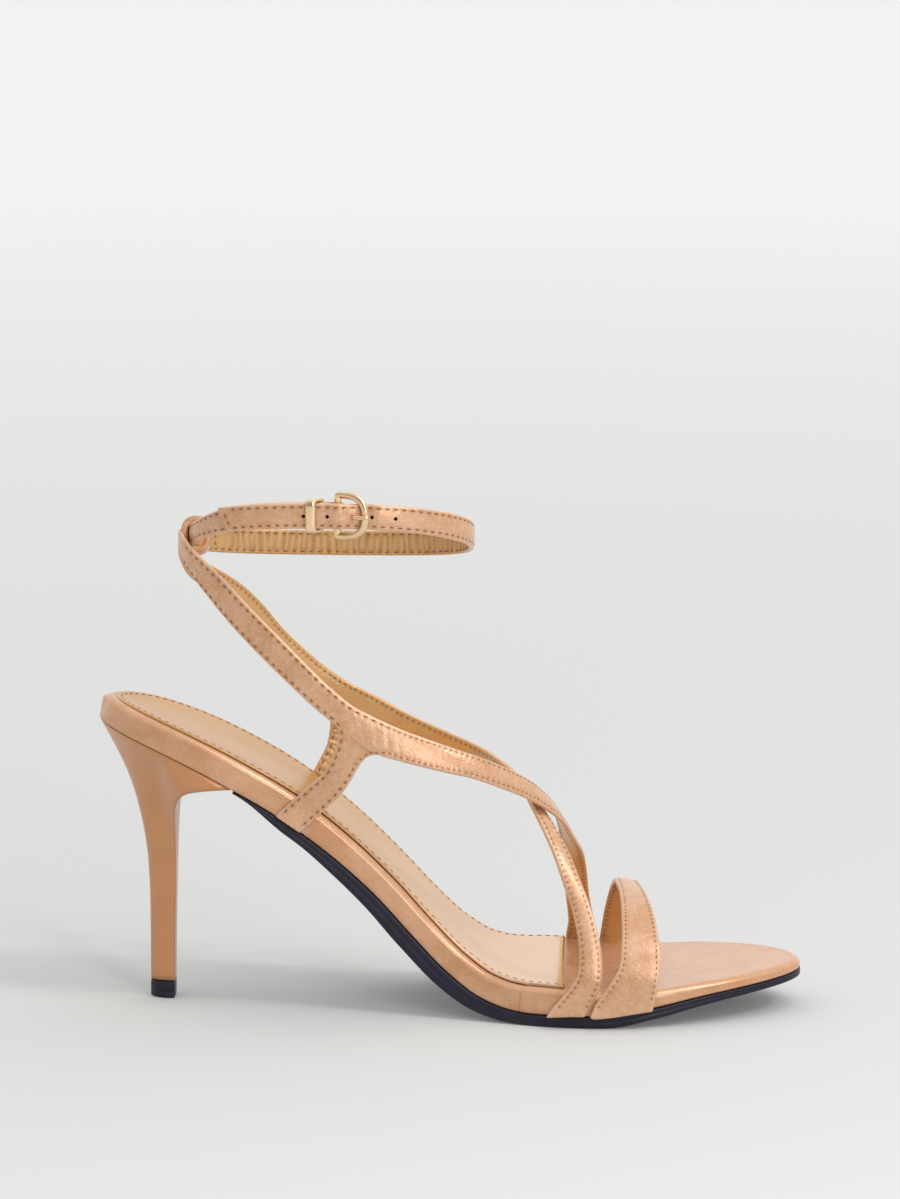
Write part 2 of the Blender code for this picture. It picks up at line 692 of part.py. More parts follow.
def ankle_frame(turn, inset=0.0):
    """Centre, run, outward and upward directions of the ankle strap."""
    step = 0.5
    centre = ankle_point(turn, inset)
    run = ankle_point(turn + step, inset) - ankle_point(turn - step, inset)
    run = run / np.linalg.norm(run)
    flat = np.array([centre[0] - ankle_rear() - ANKLE_LENGTH / 2, centre[1], 0.0])
    flat = flat / np.linalg.norm(flat)
    up = np.cross(run, flat)
    up = up / np.linalg.norm(up)
    if up[2] < 0:
        up = -up
    out = np.cross(up, run)
    if np.dot(out, flat) < 0:
        out = -out
    return centre, run, out, up


def ease(share):
    share = min(max(share, 0.0), 1.0)
    return share * share * (3 - 2 * share)


def swell(distance):
    """One soft wave of the strap, 1 in its middle and 0 from WAVE away."""
    return 0.5 + 0.5 * math.cos(math.pi * min(abs(distance) / WAVE, 1.0))


def past_bar(turn):
    """Distance ahead of the buckle's bar, along the strap's near side."""
    centre, run, out, up = ankle_frame(BAR_TURN)
    return float(np.dot(ankle_point(turn) - centre, run))


def lap_inset(turn):
    """How far the strap lies inside the loop: it weaves through the buckle and laps itself."""
    under = (STRAP_THICK + LAYER_GAP) * ease((turn - LAP_START) / (LAP_END - LAP_START))
    if turn > 360.0:
        return under
    distance = past_bar(turn)
    return DIP * swell(distance - rail_reach()) - BULGE * swell(distance)


def rail_reach():
    return BUCKLE_LENGTH - WIRE


def fold_radius():
    return WIRE / 2 + GAP + FOLD_THICK / 2


def bar_depth():
    """How far the bar lies behind the middle of the ankle loop's outer layer."""
    return STRAP_THICK / 2 + GAP + FOLD_THICK + GAP + WIRE / 2 - BULGE


def rail_height():
    """How far the rail lies before the middle of the ankle loop's outer layer."""
    return STRAP_THICK / 2 + GAP + WIRE / 2 - DIP


def buckle_point(ahead, before, high=0.0):
    """A point at the buckle: ahead of the bar, before the strap's middle and up."""
    centre, run, out, up = ankle_frame(BAR_TURN)
    return centre + run * ahead + out * before + up * high


def ankle_section(centre, out, up, width, thick):
    points, _ = strap_section(centre, up, out, width, thick)
    return points


def make_ankle_strap():
    """The ankle strap, from its free tip once round the ankle to the fold at the buckle."""
    sections = []
    for turn in strap_turns():
        centre, run, out, up = ankle_frame(turn, lap_inset(turn))
        sections.append(ankle_section(centre, out, up, ANKLE_WIDTH, STRAP_THICK))
    sections[0] = slanted_end(sections[0])
    sections += fold_sections()
    bm = bmesh.new()
    loft(bm, sections)
    strap = add_object("ankle_strap", bm, "leather")
    return punch_holes(strap)


def strap_turns():
    """Turns of the strap's sections, closer together where it weaves through the buckle."""
    stretches = (
        (TIP_TURN, BAR_TURN - 8.0, 5.0),
        (BAR_TURN - 8.0, BAR_TURN + 22.0, 1.5),
        (BAR_TURN + 22.0, 360.0 + BAR_TURN - 7.0, 6.0),
    )
    turns = []
    for start, stop, step in stretches:
        count = round((stop - start) / step)
        turns += [start + (stop - start) * k / count for k in range(count)]
    return turns + [stretches[-1][1]]


def slanted_end(section):
    """Cuts the free tip at an angle."""
    centre, run, out, up = ankle_frame(TIP_TURN)
    slanted = []
    for point in section:
        rise = np.dot(point - centre, up)
        slanted.append(point - run * TIP_SLANT * rise)
    return slanted


def fold_sections():
    """The thin end of the strap, folded round the buckle's bar."""
    centre, run, out, up = ankle_frame(BAR_TURN)
    bar = buckle_point(0.0, -bar_depth())
    sections = []
    for step in range(9):
        angle = math.radians(-110.0 + 265.0 * step / 8)
        spoke = run * math.cos(angle) + out * math.sin(angle)
        middle = bar + spoke * fold_radius()
        sections.append(ankle_section(middle, -spoke, up, ANKLE_WIDTH, FOLD_THICK))
    return sections


def turn_at(distance):
    """The turn that lies a distance ahead of the buckle's bar, along the strap."""
    turn = BAR_TURN
    for _ in range(8):
        turn += (distance - past_bar(turn)) / ANKLE_LENGTH * 110.0
    return turn


def cylinder(name, start, end, radius, kind, sides=10):
    """A round bar from one point to the other."""
    start = Vector(start)
    end = Vector(end)
    bm = bmesh.new()
    bmesh.ops.create_cone(bm, cap_ends=True, segments=sides, radius1=radius,
                          radius2=radius, depth=(end - start).length)
    turned = (end - start).to_track_quat("Z", "Y").to_matrix().to_4x4()
    turned.translation = (start + end) / 2
    bmesh.ops.transform(bm, matrix=turned, verts=bm.verts)
    return add_object(name, bm, kind)


def prong_path():
    """The prong's middle line: from the bar up through the strap and onto the rail."""
    reach = rail_reach()
    low = bar_depth()
    rest = rail_height() + WIRE / 2 + GAP + PRONG / 2
    points = [
        buckle_point(WIRE / 2 + GAP, -low),
        buckle_point(0.30 * reach, -0.72 * low),
        buckle_point(0.46 * reach, 0.05 * rest),
        buckle_point(0.64 * reach, 0.74 * rest),
        buckle_point(0.84 * reach, 0.98 * rest),
        buckle_point(reach + 0.7 * WIRE, rest),
    ]
    return through(points, 13)


def punch_holes(strap):
    """The row of round holes, and the slot that the prong comes through."""
    pins = []
    for number in range(-HOLES_EACH_SIDE, HOLES_EACH_SIDE + 1):
        if number == 0:
            continue
        turn = turn_at(PRONG_HOLE + number * HOLE_PITCH)
        centre, run, out, up = ankle_frame(turn, lap_inset(turn))
        reach = out * (STRAP_THICK / 2 + LAYER_GAP / 2)
        pins.append(cylinder(f"hole_pin_{len(pins)}", centre - reach, centre + reach,
                             HOLE_SIZE / 2, "leather"))
    slot = prong_path()[:10]
    slot[0] = slot[0] - 0.4 * (slot[1] - slot[0])
    pins.append(tube("prong_slot", slot, PRONG / 2 + GAP, "leather", False))
    for pin in pins:
        pin.hide_render = True
        pin.display_type = "WIRE"
        cut = strap.modifiers.new(pin.name, "BOOLEAN")
        cut.operation = "DIFFERENCE"
        cut.solver = "EXACT"
        cut.object = pin
    return strap


def sleeve_mesh(name, turns, inset, inner, wall_thick, kind):
    """A flat tube round the ankle strap; inner holds its clear height and depth."""
    high, deep = inner
    sections = []
    for turn in turns:
        centre, run, out, up = ankle_frame(turn, inset)
        rings = []
        for grow in (0.0, wall_thick):
            h = high / 2 + grow
            d = deep / 2 + grow
            soft = SLEEVE_ROUND * (wall_thick + grow)
            shape = ((-h + soft, -d), (h - soft, -d), (h, -d + soft), (h, d - soft),
                     (h - soft, d), (-h + soft, d), (-h, d - soft), (-h, -d + soft))
            rings.append([centre + up * u + out * v for u, v in shape])
        sections.append(rings)
    bm = bmesh.new()
    walls = []
    for number in range(2):
        walls.append([[bm.verts.new(p) for p in rings[number]] for rings in sections])
    for wall_rings in walls:
        for lower, upper in zip(wall_rings, wall_rings[1:]):
            for j in range(8):
                k = (j + 1) % 8
                bm.faces.new((lower[j], lower[k], upper[k], upper[j]))
    for end in (0, -1):
        for j in range(8):
            k = (j + 1) % 8
            bm.faces.new((walls[0][end][j], walls[0][end][k],
                          walls[1][end][k], walls[1][end][j]))
    return add_object(name, bm, kind)


def turns_between(middle, length, count):
    """Turns that share out a length of the ankle strap round a middle turn."""
    step = 0.5
    rate = np.linalg.norm(ankle_point(middle + step) - ankle_point(middle - step)) / (2 * step)
    half = length / 2 / rate
    return [middle - half + 2 * half * k / (count - 1) for k in range(count)]


def make_sleeve():
    """The leather sleeve behind the heel that the ankle strap runs through."""
    clear = (ANKLE_WIDTH + 2 * SLEEVE_SLACK, STRAP_THICK + 2 * SLEEVE_ROOM)
    turns = turns_between(REAR_TURN, SLEEVE_LENGTH, 7)
    inset = lap_inset(REAR_TURN)
    return sleeve_mesh("rear_sleeve", turns, inset, clear, SLEEVE_WALL, "leather")


def make_keeper():
    """The metal keeper round both layers of the ankle strap, behind the buckle."""
    layers = 2 * STRAP_THICK + LAYER_GAP
    clear = (ANKLE_WIDTH + 2 * GAP, layers + 2 * GAP)
    middle = turn_at(-KEEPER_SET_BACK)
    turns = turns_between(middle, KEEPER_WIDE, 2)
    inset = (STRAP_THICK + LAYER_GAP) / 2
    return sleeve_mesh("strap_keeper", turns, inset, clear, KEEPER_WALL, "gold")


def tube(name, path, radius, kind, closed, sides=8):
    """A round wire along a path of points."""
    path = [Vector(point) for point in path]
    count = len(path)
    bm = bmesh.new()
    sections = []
    side = None
    for k in range(count):
        before = path[(k - 1) % count] if closed or k else path[k]
        after = path[(k + 1) % count] if closed or k < count - 1 else path[k]
        tangent = (after - before).normalized()
        if side is None:
            side = tangent.orthogonal().normalized()
        side = (side - tangent * side.dot(tangent)).normalized()
        other = tangent.cross(side)
        ring = []
        for j in range(sides):
            angle = 2 * math.pi * j / sides
            ring.append(path[k] + (side * math.cos(angle) + other * math.sin(angle)) * radius)
        sections.append(ring)
    loft(bm, sections, closed)
    return add_object(name, bm, kind)


def make_buckle():
    """The horseshoe frame: a straight bar behind the strap and a rounded rail before it."""
    half = BUCKLE_HEIGHT / 2 - WIRE / 2
    low = -bar_depth()
    rise = rail_height() - low
    path = [buckle_point(0.0, low, half * share) for share in (-1.0, -0.5, 0.0, 0.5, 1.0)]
    for step in range(13):
        angle = math.radians(90.0 - 180.0 * step / 12)
        bend = math.copysign(abs(math.sin(angle)) ** 0.8, math.sin(angle))
        ahead = 0.16 + 0.84 * abs(math.cos(angle)) ** 0.8
        path.append(buckle_point(rail_reach() * ahead, low + rise * ahead, half * bend))
    return tube("buckle_frame", path, WIRE / 2, "gold", True)


def make_prong():
    """The prong, from the bar through the strap's slot to its rest on the rail."""
    return tube("buckle_prong", prong_path(), PRONG / 2, "gold", False)


def clear_scene():
    for thing in list(bpy.data.objects):
        bpy.data.objects.remove(thing)


def main():
    clear_scene()
    make_outsole()
    make_board()
    make_sock()
    heel, foot = make_heel()
    make_heel_tip(foot)
    sling = make_strap("sling_straps", SLING_A, SLING_WIDTH, 44, lambda t: t > 0.8)
    inner = make_strap("sling_inner", SLING_B, SLING_WIDTH, 44, lambda t: t > 0.8)
    near = make_strap("branch_outer", BRANCH_OUTER, BRANCH_WIDTH, 14, lambda t: t > 0.5)
    far = make_strap("branch_inner", BRANCH_INNER, BRANCH_WIDTH, 14, lambda t: t > 0.5)
    unite(sling, [inner, near, far, make_sleeve()])
    make_strap("toe_band", TOE_BAND, TOE_BAND_WIDTH, 32, lambda t: t < 0.3 or t > 0.7)
    make_ankle_strap()
    make_keeper()
    make_buckle()
    make_prong()


main()
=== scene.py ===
"""Dresses the packed sandal: covered sole, stitched straps, buckle, studio and camera.

All lengths are in metres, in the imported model's own frame: +X to the toe, +Y to the inner
side of the foot, +Z up, and the origin in the middle of the heel tip's foot."""

import math

import bmesh
import bpy
import numpy as np
from bpy.props import FloatProperty, FloatVectorProperty, IntProperty, PointerProperty
from mathutils import Matrix, Vector
from mathutils.bvhtree import BVHTree
from mathutils.kdtree import KDTree


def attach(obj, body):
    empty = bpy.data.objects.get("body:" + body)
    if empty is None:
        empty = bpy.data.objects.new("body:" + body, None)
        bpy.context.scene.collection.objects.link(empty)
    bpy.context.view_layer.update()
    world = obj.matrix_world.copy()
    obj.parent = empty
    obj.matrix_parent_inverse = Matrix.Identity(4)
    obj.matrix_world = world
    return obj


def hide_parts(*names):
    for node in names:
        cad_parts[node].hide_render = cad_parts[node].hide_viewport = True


bl_info = {
    "name": "Strappy Heeled Sandal",
    "version": (1, 0, 0),
    "blender": (4, 5, 0),
    "location": "View3D > Sidebar > Sandal",
    "description": "Builds a strappy heeled sandal over its packed frame, piece by piece",
    "category": "Add Mesh",
}

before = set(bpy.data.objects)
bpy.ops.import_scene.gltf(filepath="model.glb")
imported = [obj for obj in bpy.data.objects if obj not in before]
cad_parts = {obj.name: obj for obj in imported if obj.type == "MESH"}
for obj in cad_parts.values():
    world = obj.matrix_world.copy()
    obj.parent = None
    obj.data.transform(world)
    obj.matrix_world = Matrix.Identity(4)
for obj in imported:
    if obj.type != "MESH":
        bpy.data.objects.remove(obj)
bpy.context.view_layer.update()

MM = 0.001

# Sizes of the last, the sole and the heel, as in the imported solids
LENGTH = 220.5 * MM
HEEL_SET_BACK = 20.0 * MM
BALL_WIDTH = 77.0 * MM
HEEL_RISE = 86.0 * MM
INSTEP = 70.0 * MM
BOARD_WALL = 7.8 * MM
TREAD = 3.6 * MM
TREAD_PROUD = 0.4 * MM
TREAD_END = 0.22
TREAD_FADE = 0.085
SEAT_CUP = 1.6 * MM
GAP = 0.3 * MM
SOCK_THICK = 1.0 * MM
SOCK_INSET = 2.4 * MM
SOCK_END_SHARE = 0.675
SOCK_HEM = 1.4 * MM
SOCK_SEAM = 1.7 * MM
TOE_COVER_START = 0.603
RIM_LIMIT = 0.62
BREAST_SHARE = 0.198
SHAFT_DEPTH = 8.0 * MM
SHAFT_WIDTH = 9.4 * MM
HEEL_INSET = 0.3 * MM
TIP_HEIGHT = 5.6 * MM

# Straps
STRAP_THICK = 1.8 * MM
SLING_WIDTH = 8.0 * MM
BRANCH_WIDTH = 9.0 * MM
TOE_BAND_WIDTH = 12.5 * MM
STRAP_FOOT = 0.1 * MM
TWIST_REACH = 6.7 * MM
SEAM_START = 0.025
SEAM_END = 0.8 * MM
SEAM_ROUND = 1.2 * MM
SEAM_FOOT = 1.6 * MM
WEB_REACH = 14.5 * MM
FINE_PITCH = 0.7
CLEAR_ABOVE = 2.2 * MM
CLEAR_FADE = 1.2 * MM

# Threads and the leather round them: how flat and high a thread lies, how far the pull of a
# stitch and its row's channel reach, and their shares of the dimple's depth
THREAD_FLAT = 0.42
THREAD_RISE = 0.06
PULL_REACH = 0.7 * MM
CHANNEL_REACH = 0.95 * MM
PULL_SHARE = 0.8
CHANNEL_SHARE = 0.45

# Where the masks of a strap's edge and lining start, as shares of its half width and wall
EDGE_START = 0.80
EDGE_FADE = 0.16
LINING_START = 0.30
LINING_FADE = 0.3

# Ankle strap and what it runs through
ANKLE_WIDTH = 8.0 * MM
ANKLE_LENGTH = 89.0 * MM
ANKLE_ACROSS = 61.0 * MM
ANKLE_AHEAD = 1.7 * MM
ANKLE_ABOVE = 3.1 * MM
ANKLE_LEAN = 9.0 * MM
ANKLE_SAG = 1.5 * MM
ANKLE_ROUND = 2.35
ANKLE_STEP = 0.55 * MM
ANKLE_SEAM_ENDS = (3.2 * MM, 3.0 * MM)
THIN_BEFORE = 7.0
FOLD_START = -110.0
FOLD_TURN = 265.0
SLANT_FADE = 9.0 * MM
LAYER_GAP = 0.45 * MM
TIP_TURN = 228.0
LAP_START = 505.0
LAP_END = 560.0
REAR_TURN = 540.0
PLEATS_START = 372.0
PLEATS_END = 502.0
SLEEVE_LENGTH = 11.0 * MM
PINCH_TURN = 556.0
PINCH_REACH = 46.0
PINCH_DIP = 1.2 * MM
PINCH_NARROW = 0.2
LOOP_AHEAD = 1.5 * MM
LOOP_DEPTH = 2.6 * MM
LOOP_WALL = 2.1 * MM
LOOP_LOW = 0.3 * MM
BAR_TURN = 273.4
WIRE = 1.6 * MM
FRAME_WIDE = 2.2 * MM
BUCKLE_LENGTH = 10.2 * MM
BUCKLE_HEIGHT = 14.4 * MM
BUCKLE_ROUND = 0.8
BUCKLE_NECK = 0.16
BULGE = 1.1 * MM
DIP = 0.9 * MM
WAVE = 4.4 * MM
PRONG = 1.3 * MM
PRONG_SHOWN = 1.6 * MM
FOLD_THICK = 0.8 * MM
KEEPER_WIDE = 3.0 * MM
KEEPER_WALL = 1.0 * MM
KEEPER_SET_BACK = 7.6 * MM
KEEPER_SKEW = 0.42
HOLE_PITCH = 7.0 * MM
HOLE_SHOWN = 1.15 * MM
HOLE_LIFT = 0.35
HOLES_EACH_SIDE = 2
PRONG_HOLE = 3.6 * MM
PRONG_BLUNT = 0.93
PRONG_TAPER = 0.22
TIP_SLANT = 0.36


def records(names, *values):
    """A table under one heading of names: a record for each row."""
    return tuple(dict(zip(names, row)) for row in values)


# A row for each station of the sole, as shares of the sizes above
SOLE = records(
    ("along", "rise", "wall", "tread", "cup"),
    (0.00, 1.000, 1.04, 0.50, 0.6),
    (0.08, 0.926, 1.05, 0.50, 1.0),
    (0.15, 0.846, 1.08, 0.50, 1.0),
    (0.20, 0.778, 1.10, 0.60, 0.9),
    (0.25, 0.704, 1.10, 0.85, 0.7),
    (0.30, 0.617, 1.06, 0.92, 0.5),
    (0.35, 0.515, 1.00, 1.15, 0.5),
    (0.40, 0.396, 0.95, 1.30, 0.5),
    (0.45, 0.257, 0.94, 1.40, 0.5),
    (0.50, 0.128, 0.96, 1.40, 0.4),
    (0.55, 0.040, 0.99, 1.25, 0.3),
    (0.59, 0.008, 1.02, 1.08, 0.2),
    (0.62, 0.000, 1.03, 1.00, 0.1),
    (0.72, 0.000, 0.88, 1.00, 0.1),
    (0.79, 0.027, 0.66, 0.92, 0.1),
    (0.86, 0.060, 0.49, 0.78, 0.1),
    (0.93, 0.081, 0.40, 0.66, 0.1),
    (1.00, 0.098, 0.35, 0.60, 0.1),
)

# Half widths of the sole, as shares of BALL_WIDTH
OUTLINE = records(
    ("along", "lateral", "medial"),
    (0.00, 0.000, 0.000),
    (0.02, 0.150, 0.148),
    (0.05, 0.232, 0.228),
    (0.10, 0.298, 0.292),
    (0.15, 0.327, 0.320),
    (0.20, 0.337, 0.328),
    (0.30, 0.330, 0.312),
    (0.40, 0.320, 0.308),
    (0.45, 0.328, 0.332),
    (0.50, 0.352, 0.382),
    (0.55, 0.394, 0.440),
    (0.60, 0.444, 0.487),
    (0.65, 0.484, 0.503),
    (0.70, 0.500, 0.494),
    (0.75, 0.492, 0.474),
    (0.80, 0.462, 0.450),
    (0.85, 0.410, 0.414),
    (0.90, 0.336, 0.358),
    (0.95, 0.236, 0.268),
    (0.98, 0.148, 0.172),
    (1.00, 0.000, 0.000),
)

# Levels of the heel: "drop" is a share of the way from the seat down to the tip, and the
# others say how much of the seat's outline is left there at the back, front and sides.
HEEL = records(
    ("drop", "back", "front", "side"),
    (0.000, 1.000, 1.000, 1.000),
    (0.014, 0.965, 0.500, 0.960),
    (0.032, 0.915, 0.250, 0.890),
    (0.055, 0.850, 0.155, 0.800),
    (0.090, 0.755, 0.085, 0.670),
    (0.134, 0.640, 0.045, 0.530),
    (0.190, 0.505, 0.035, 0.390),
    (0.260, 0.365, 0.030, 0.260),
    (0.340, 0.245, 0.026, 0.165),
    (0.430, 0.140, 0.022, 0.095),
    (0.550, 0.055, 0.018, 0.045),
    (0.700, 0.018, 0.010, 0.018),
    (1.000, 0.000, 0.000, 0.000),
)

# Straps, a row for each bend: "along" is a share of LENGTH, "across" of BALL_WIDTH, "up" of
# INSTEP above the board's underside, and "wide" of the strap's own width.
SLING_A = records(
    ("along", "across", "up", "wide"),
    (0.116, 0.000, 0.948, 0.95),
    (0.122, -0.065, 0.921, 1.00),
    (0.137, -0.130, 0.889, 1.04),
    (0.171, -0.221, 0.844, 1.08),
    (0.203, -0.286, 0.800, 1.10),
    (0.235, -0.331, 0.763, 1.10),
    (0.266, -0.364, 0.734, 1.08),
    (0.296, -0.390, 0.712, 1.05),
    (0.325, -0.403, 0.699, 1.03),
    (0.354, -0.416, 0.703, 1.03),
    (0.382, -0.418, 0.725, 1.20),
    (0.410, -0.418, 0.766, 1.28),
    (0.440, -0.412, 0.836, 1.20),
    (0.497, -0.386, 0.962, 1.07),
    (0.537, -0.351, 1.015, 0.97),
    (0.578, -0.291, 1.007, 0.97),
    (0.610, -0.214, 0.961, 0.97),
    (0.634, -0.130, 0.893, 0.97),
    (0.654, -0.032, 0.809, 0.97),
    (0.665, 0.078, 0.711, 0.97),
    (0.673, 0.195, 0.605, 0.97),
    (0.678, 0.312, 0.481, 0.97),
    (0.682, 0.416, 0.330, 0.97),
    (0.687, 0.488, 0.201, 1.05),
    (0.686, 0.517, 0.109, 1.20),
    (0.685, 0.517, 0.002, 1.36),
)
SLING_B = records(
    ("along", "across", "up", "wide"),
    (0.116, 0.000, 0.948, 0.95),
    (0.118, 0.055, 0.882, 0.92),
    (0.131, 0.112, 0.817, 0.90),
    (0.156, 0.174, 0.792, 0.95),
    (0.187, 0.230, 0.765, 1.00),
    (0.215, 0.282, 0.717, 1.00),
    (0.244, 0.327, 0.649, 1.00),
    (0.275, 0.358, 0.612, 1.00),
    (0.305, 0.378, 0.595, 1.00),
    (0.337, 0.390, 0.600, 1.05),
    (0.367, 0.392, 0.631, 1.10),
    (0.397, 0.390, 0.677, 1.06),
    (0.428, 0.379, 0.735, 1.00),
    (0.488, 0.351, 0.864, 0.95),
    (0.537, 0.286, 0.940, 0.90),
    (0.571, 0.188, 0.952, 0.87),
    (0.594, 0.078, 0.943, 0.84),
    (0.610, -0.026, 0.914, 0.80),
    (0.624, -0.121, 0.859, 0.78),
    (0.641, -0.197, 0.783, 0.78),
    (0.659, -0.269, 0.683, 0.76),
    (0.674, -0.334, 0.577, 0.74),
    (0.688, -0.395, 0.470, 0.76),
    (0.698, -0.449, 0.366, 0.82),
    (0.703, -0.491, 0.263, 0.90),
    (0.701, -0.517, 0.170, 0.98),
    (0.688, -0.517, 0.090, 1.10),
    (0.669, -0.517, 0.002, 1.32),
)
BRANCH_OUTER = records(
    ("along", "across", "up", "wide"),
    (0.376, -0.418, 0.721, 1.53),
    (0.369, -0.419, 0.622, 1.18),
    (0.357, -0.416, 0.505, 0.98),
    (0.342, -0.400, 0.377, 0.95),
    (0.320, -0.377, 0.246, 1.00),
    (0.297, -0.357, 0.121, 1.02),
    (0.277, -0.348, 0.017, 1.04),
    (0.272, -0.347, -0.010, 1.04),
)
BRANCH_INNER = records(
    ("along", "across", "up", "wide"),
    (0.352, 0.392, 0.616, 1.60),
    (0.349, 0.395, 0.537, 1.38),
    (0.344, 0.390, 0.444, 1.14),
    (0.336, 0.374, 0.336, 1.00),
    (0.324, 0.356, 0.229, 1.00),
    (0.311, 0.338, 0.123, 1.02),
    (0.299, 0.330, 0.041, 1.04),
    (0.294, 0.329, -0.010, 1.04),
)
TOE_BAND = records(
    ("along", "across", "up", "wide"),
    (0.749, -0.514, 0.002, 1.50),
    (0.756, -0.516, 0.054, 1.32),
    (0.765, -0.514, 0.118, 1.14),
    (0.772, -0.497, 0.192, 1.02),
    (0.773, -0.434, 0.284, 0.95),
    (0.769, -0.294, 0.386, 0.82),
    (0.763, -0.136, 0.440, 0.70),
    (0.756, 0.019, 0.459, 0.63),
    (0.751, 0.182, 0.443, 0.61),
    (0.746, 0.338, 0.372, 0.62),
    (0.739, 0.444, 0.249, 0.64),
    (0.735, 0.492, 0.133, 0.68),
    (0.734, 0.495, 0.056, 0.76),
    (0.735, 0.494, 0.002, 0.84),
)

# The middle of the foot, which the straps face away from
CORE = records(
    ("along", "across", "up"),
    (0.200, 0.0, 1.40),
    (0.210, 0.0, 0.90),
    (0.310, 0.0, 0.68),
    (0.450, 0.0, 0.60),
    (0.620, 0.0, 0.30),
    (0.900, 0.0, 0.12),
)

# Soft creases of a strap: its band, where as shares of run and half width, the turn from
# its run in degrees, and how long, wide and deep in metres. A trough is positive.
OUTER_CREASES = records(
    ("band", "along", "across", "turn", "long", "wide", "deep"),
    (0, 0.345, 0.10, 38, .0050, .0007, .00006),
    (0, 0.362, 0.35, 46, .0060, .0008, .00008),
    (0, 0.378, 0.10, 55, .0055, .0008, .00007),
    (0, 0.392, -0.10, 64, .0050, .0007, .00006),
    (0, 0.408, 0.15, 72, .0045, .0008, .00006),
    (0, 0.200, 0.00, 20, .0090, .0013, .00010),
    (0, 0.300, 0.20, -14, .0080, .0012, .00010),
    (0, 0.560, 0.00, 12, .0090, .0012, .00009),
    (0, 0.680, 0.20, -18, .0080, .0012, .00010),
    (1, 0.180, 0.20, 16, .0050, .0008, .00006),
    (1, 0.260, -0.20, -12, .0060, .0009, .00007),
    (1, 0.620, 0.10, 8, .0080, .0012, .00010),
)
TOE_CREASES = records(
    ("band", "along", "across", "turn", "long", "wide", "deep"),
    (0, 0.160, 0.10, 70, .0055, .0009, .00006),
    (0, 0.230, -0.20, 62, .0050, .0008, .00007),
    (0, 0.320, 0.10, 20, .0080, .0012, .00009),
    (0, 0.700, 0.00, 70, .0030, .0008, .00010),
)

# Both slings: their tables, the side of their top edge, how the rear stitches' pitch
# compares, their creases, and their pleats as a band with the shares between
SLINGS = (
    ("sling_outer", SLING_A, BRANCH_OUTER, -1, 1.0, OUTER_CREASES, ()),
    ("sling_inner", SLING_B, BRANCH_INNER, 1, FINE_PITCH, (), ((1, 0.25, 0.98),)),
)

# Soft folds of the sock: where, how long and wide, how deep, in metres, and their turn
SOCK_FOLDS = records(
    ("x", "y", "long", "wide", "deep", "turn"),
    (-0.004, 0.008, 0.016, 0.0050, -0.00035, 20),
    (0.014, -0.006, 0.020, 0.0060, 0.00030, -15),
    (0.040, 0.007, 0.022, 0.0065, -0.00040, 12),
    (0.070, -0.004, 0.020, 0.0070, 0.00035, -8),
    (0.096, 0.012, 0.018, 0.0080, -0.00035, 25),
)

# Each material's surface: its plain values, the scales of its grain, how far the mottling
# changes its roughness and from what, and its bump
SURFACES = records(
    ("kind", "rough", "metal", "coat", "coat_rough", "grain", "wrinkle", "patch", "swing",
     "least", "depth", "bump"),
    ("strap_skin", 0.32, 0.28, 0.3, 0.3, 1400.0, 420.0, 95.0, 0.16, 0.24, 0.09 * MM, 0.9),
    ("board_wrap", 0.28, 0.28, 0.3, 0.3, 1700.0, 510.0, 95.0, 0.16, 0.20, 0.025 * MM, 0.9),
    ("heel_wrap", 0.34, 0.28, 0.3, 0.3, 1900.0, 570.0, 95.0, 0.16, 0.26, 0.02 * MM, 0.9),
    ("sock_satin", 0.34, 0.45, 0.1, 0.3, 2200.0, 150.0, 42.0, 0.2, 0.24, 0.035 * MM, 0.5),
    ("outsole_skin", 0.45, 0.0, 0.0, 0.2, 1800.0, 700.0, 120.0, 0.25, 0.30, 0.03 * MM, 0.5),
    ("tip_skin", 0.45, 0.0, 0.0, 0.2, 1800.0, 700.0, 120.0, 0.25, 0.30, 0.03 * MM, 0.5),
    ("pale_gold_plate", 0.18, 1.0, 0.2, 0.05, 3200.0, 900.0, 260.0, 0.14, 0.10, 0.01 * MM, 0.3),
)

# Shares of cells, folds and crinkles in the grain's height, and the crinkles' own scale
GRAIN_SHARES = (0.45, 1.6, 0.8)
CRINKLE_SCALE = 0.55

# How strongly the painted sheen shows: pale flecks on the leather grain's peaks, and pale patches on
# the sock
STRAP_SHEEN_FLECKS = 0.8
WRAP_SHEEN_FLECKS = 0.35
SOCK_SHEEN_PATCHES = 0.3

# Second colours of the materials
HEM_GOLD = (0.72, 0.40, 0.10)
RUBBER_WORN = (0.020, 0.018, 0.036)
DUST = (0.10, 0.085, 0.08)
METAL_LIT = (0.92, 0.70, 0.45)
THREAD_LIT = (0.27, 0.11, 0.038)
HOLE_DARK = (0.020, 0.008, 0.004)
HOLE_LIT = (0.06, 0.025, 0.012)

# Camera, as a place that it looks at, a distance and three turns in degrees
TARGET = (0.089739, 0.0, 0.127917)
DISTANCE = 2.0
PITCH = 9.6
YAW = 1.5
ROLL = 0.4
LENS = 192.16
SENSOR = 36.0

# The surround's brightness at the horizon, and how it changes upwards and to the far side
SKY_LEVEL = 0.60
SKY_RISE = 0.39
SKY_TURN = 0.34

# The top strip light's share of the front one's power
TOP_SHARE = 0.45

# How much darker the floor is near the shoe, how far that reaches, and its own faint light
FLOOR_NEAR = 0.68
FLOOR_REACH = 2.4
FLOOR_GLOW = 0.12


# Settings that a user would change

def length(name, what, value):
    return FloatProperty(name=name, description=what, default=value, unit="LENGTH")


def power(name, what, value, unit="NONE"):
    return FloatProperty(name=name, description=what, default=value, unit=unit)


def colour(name, what, value):
    return FloatVectorProperty(name=name, description=what, default=value, subtype="COLOR",
                               min=0.0, max=1.0)


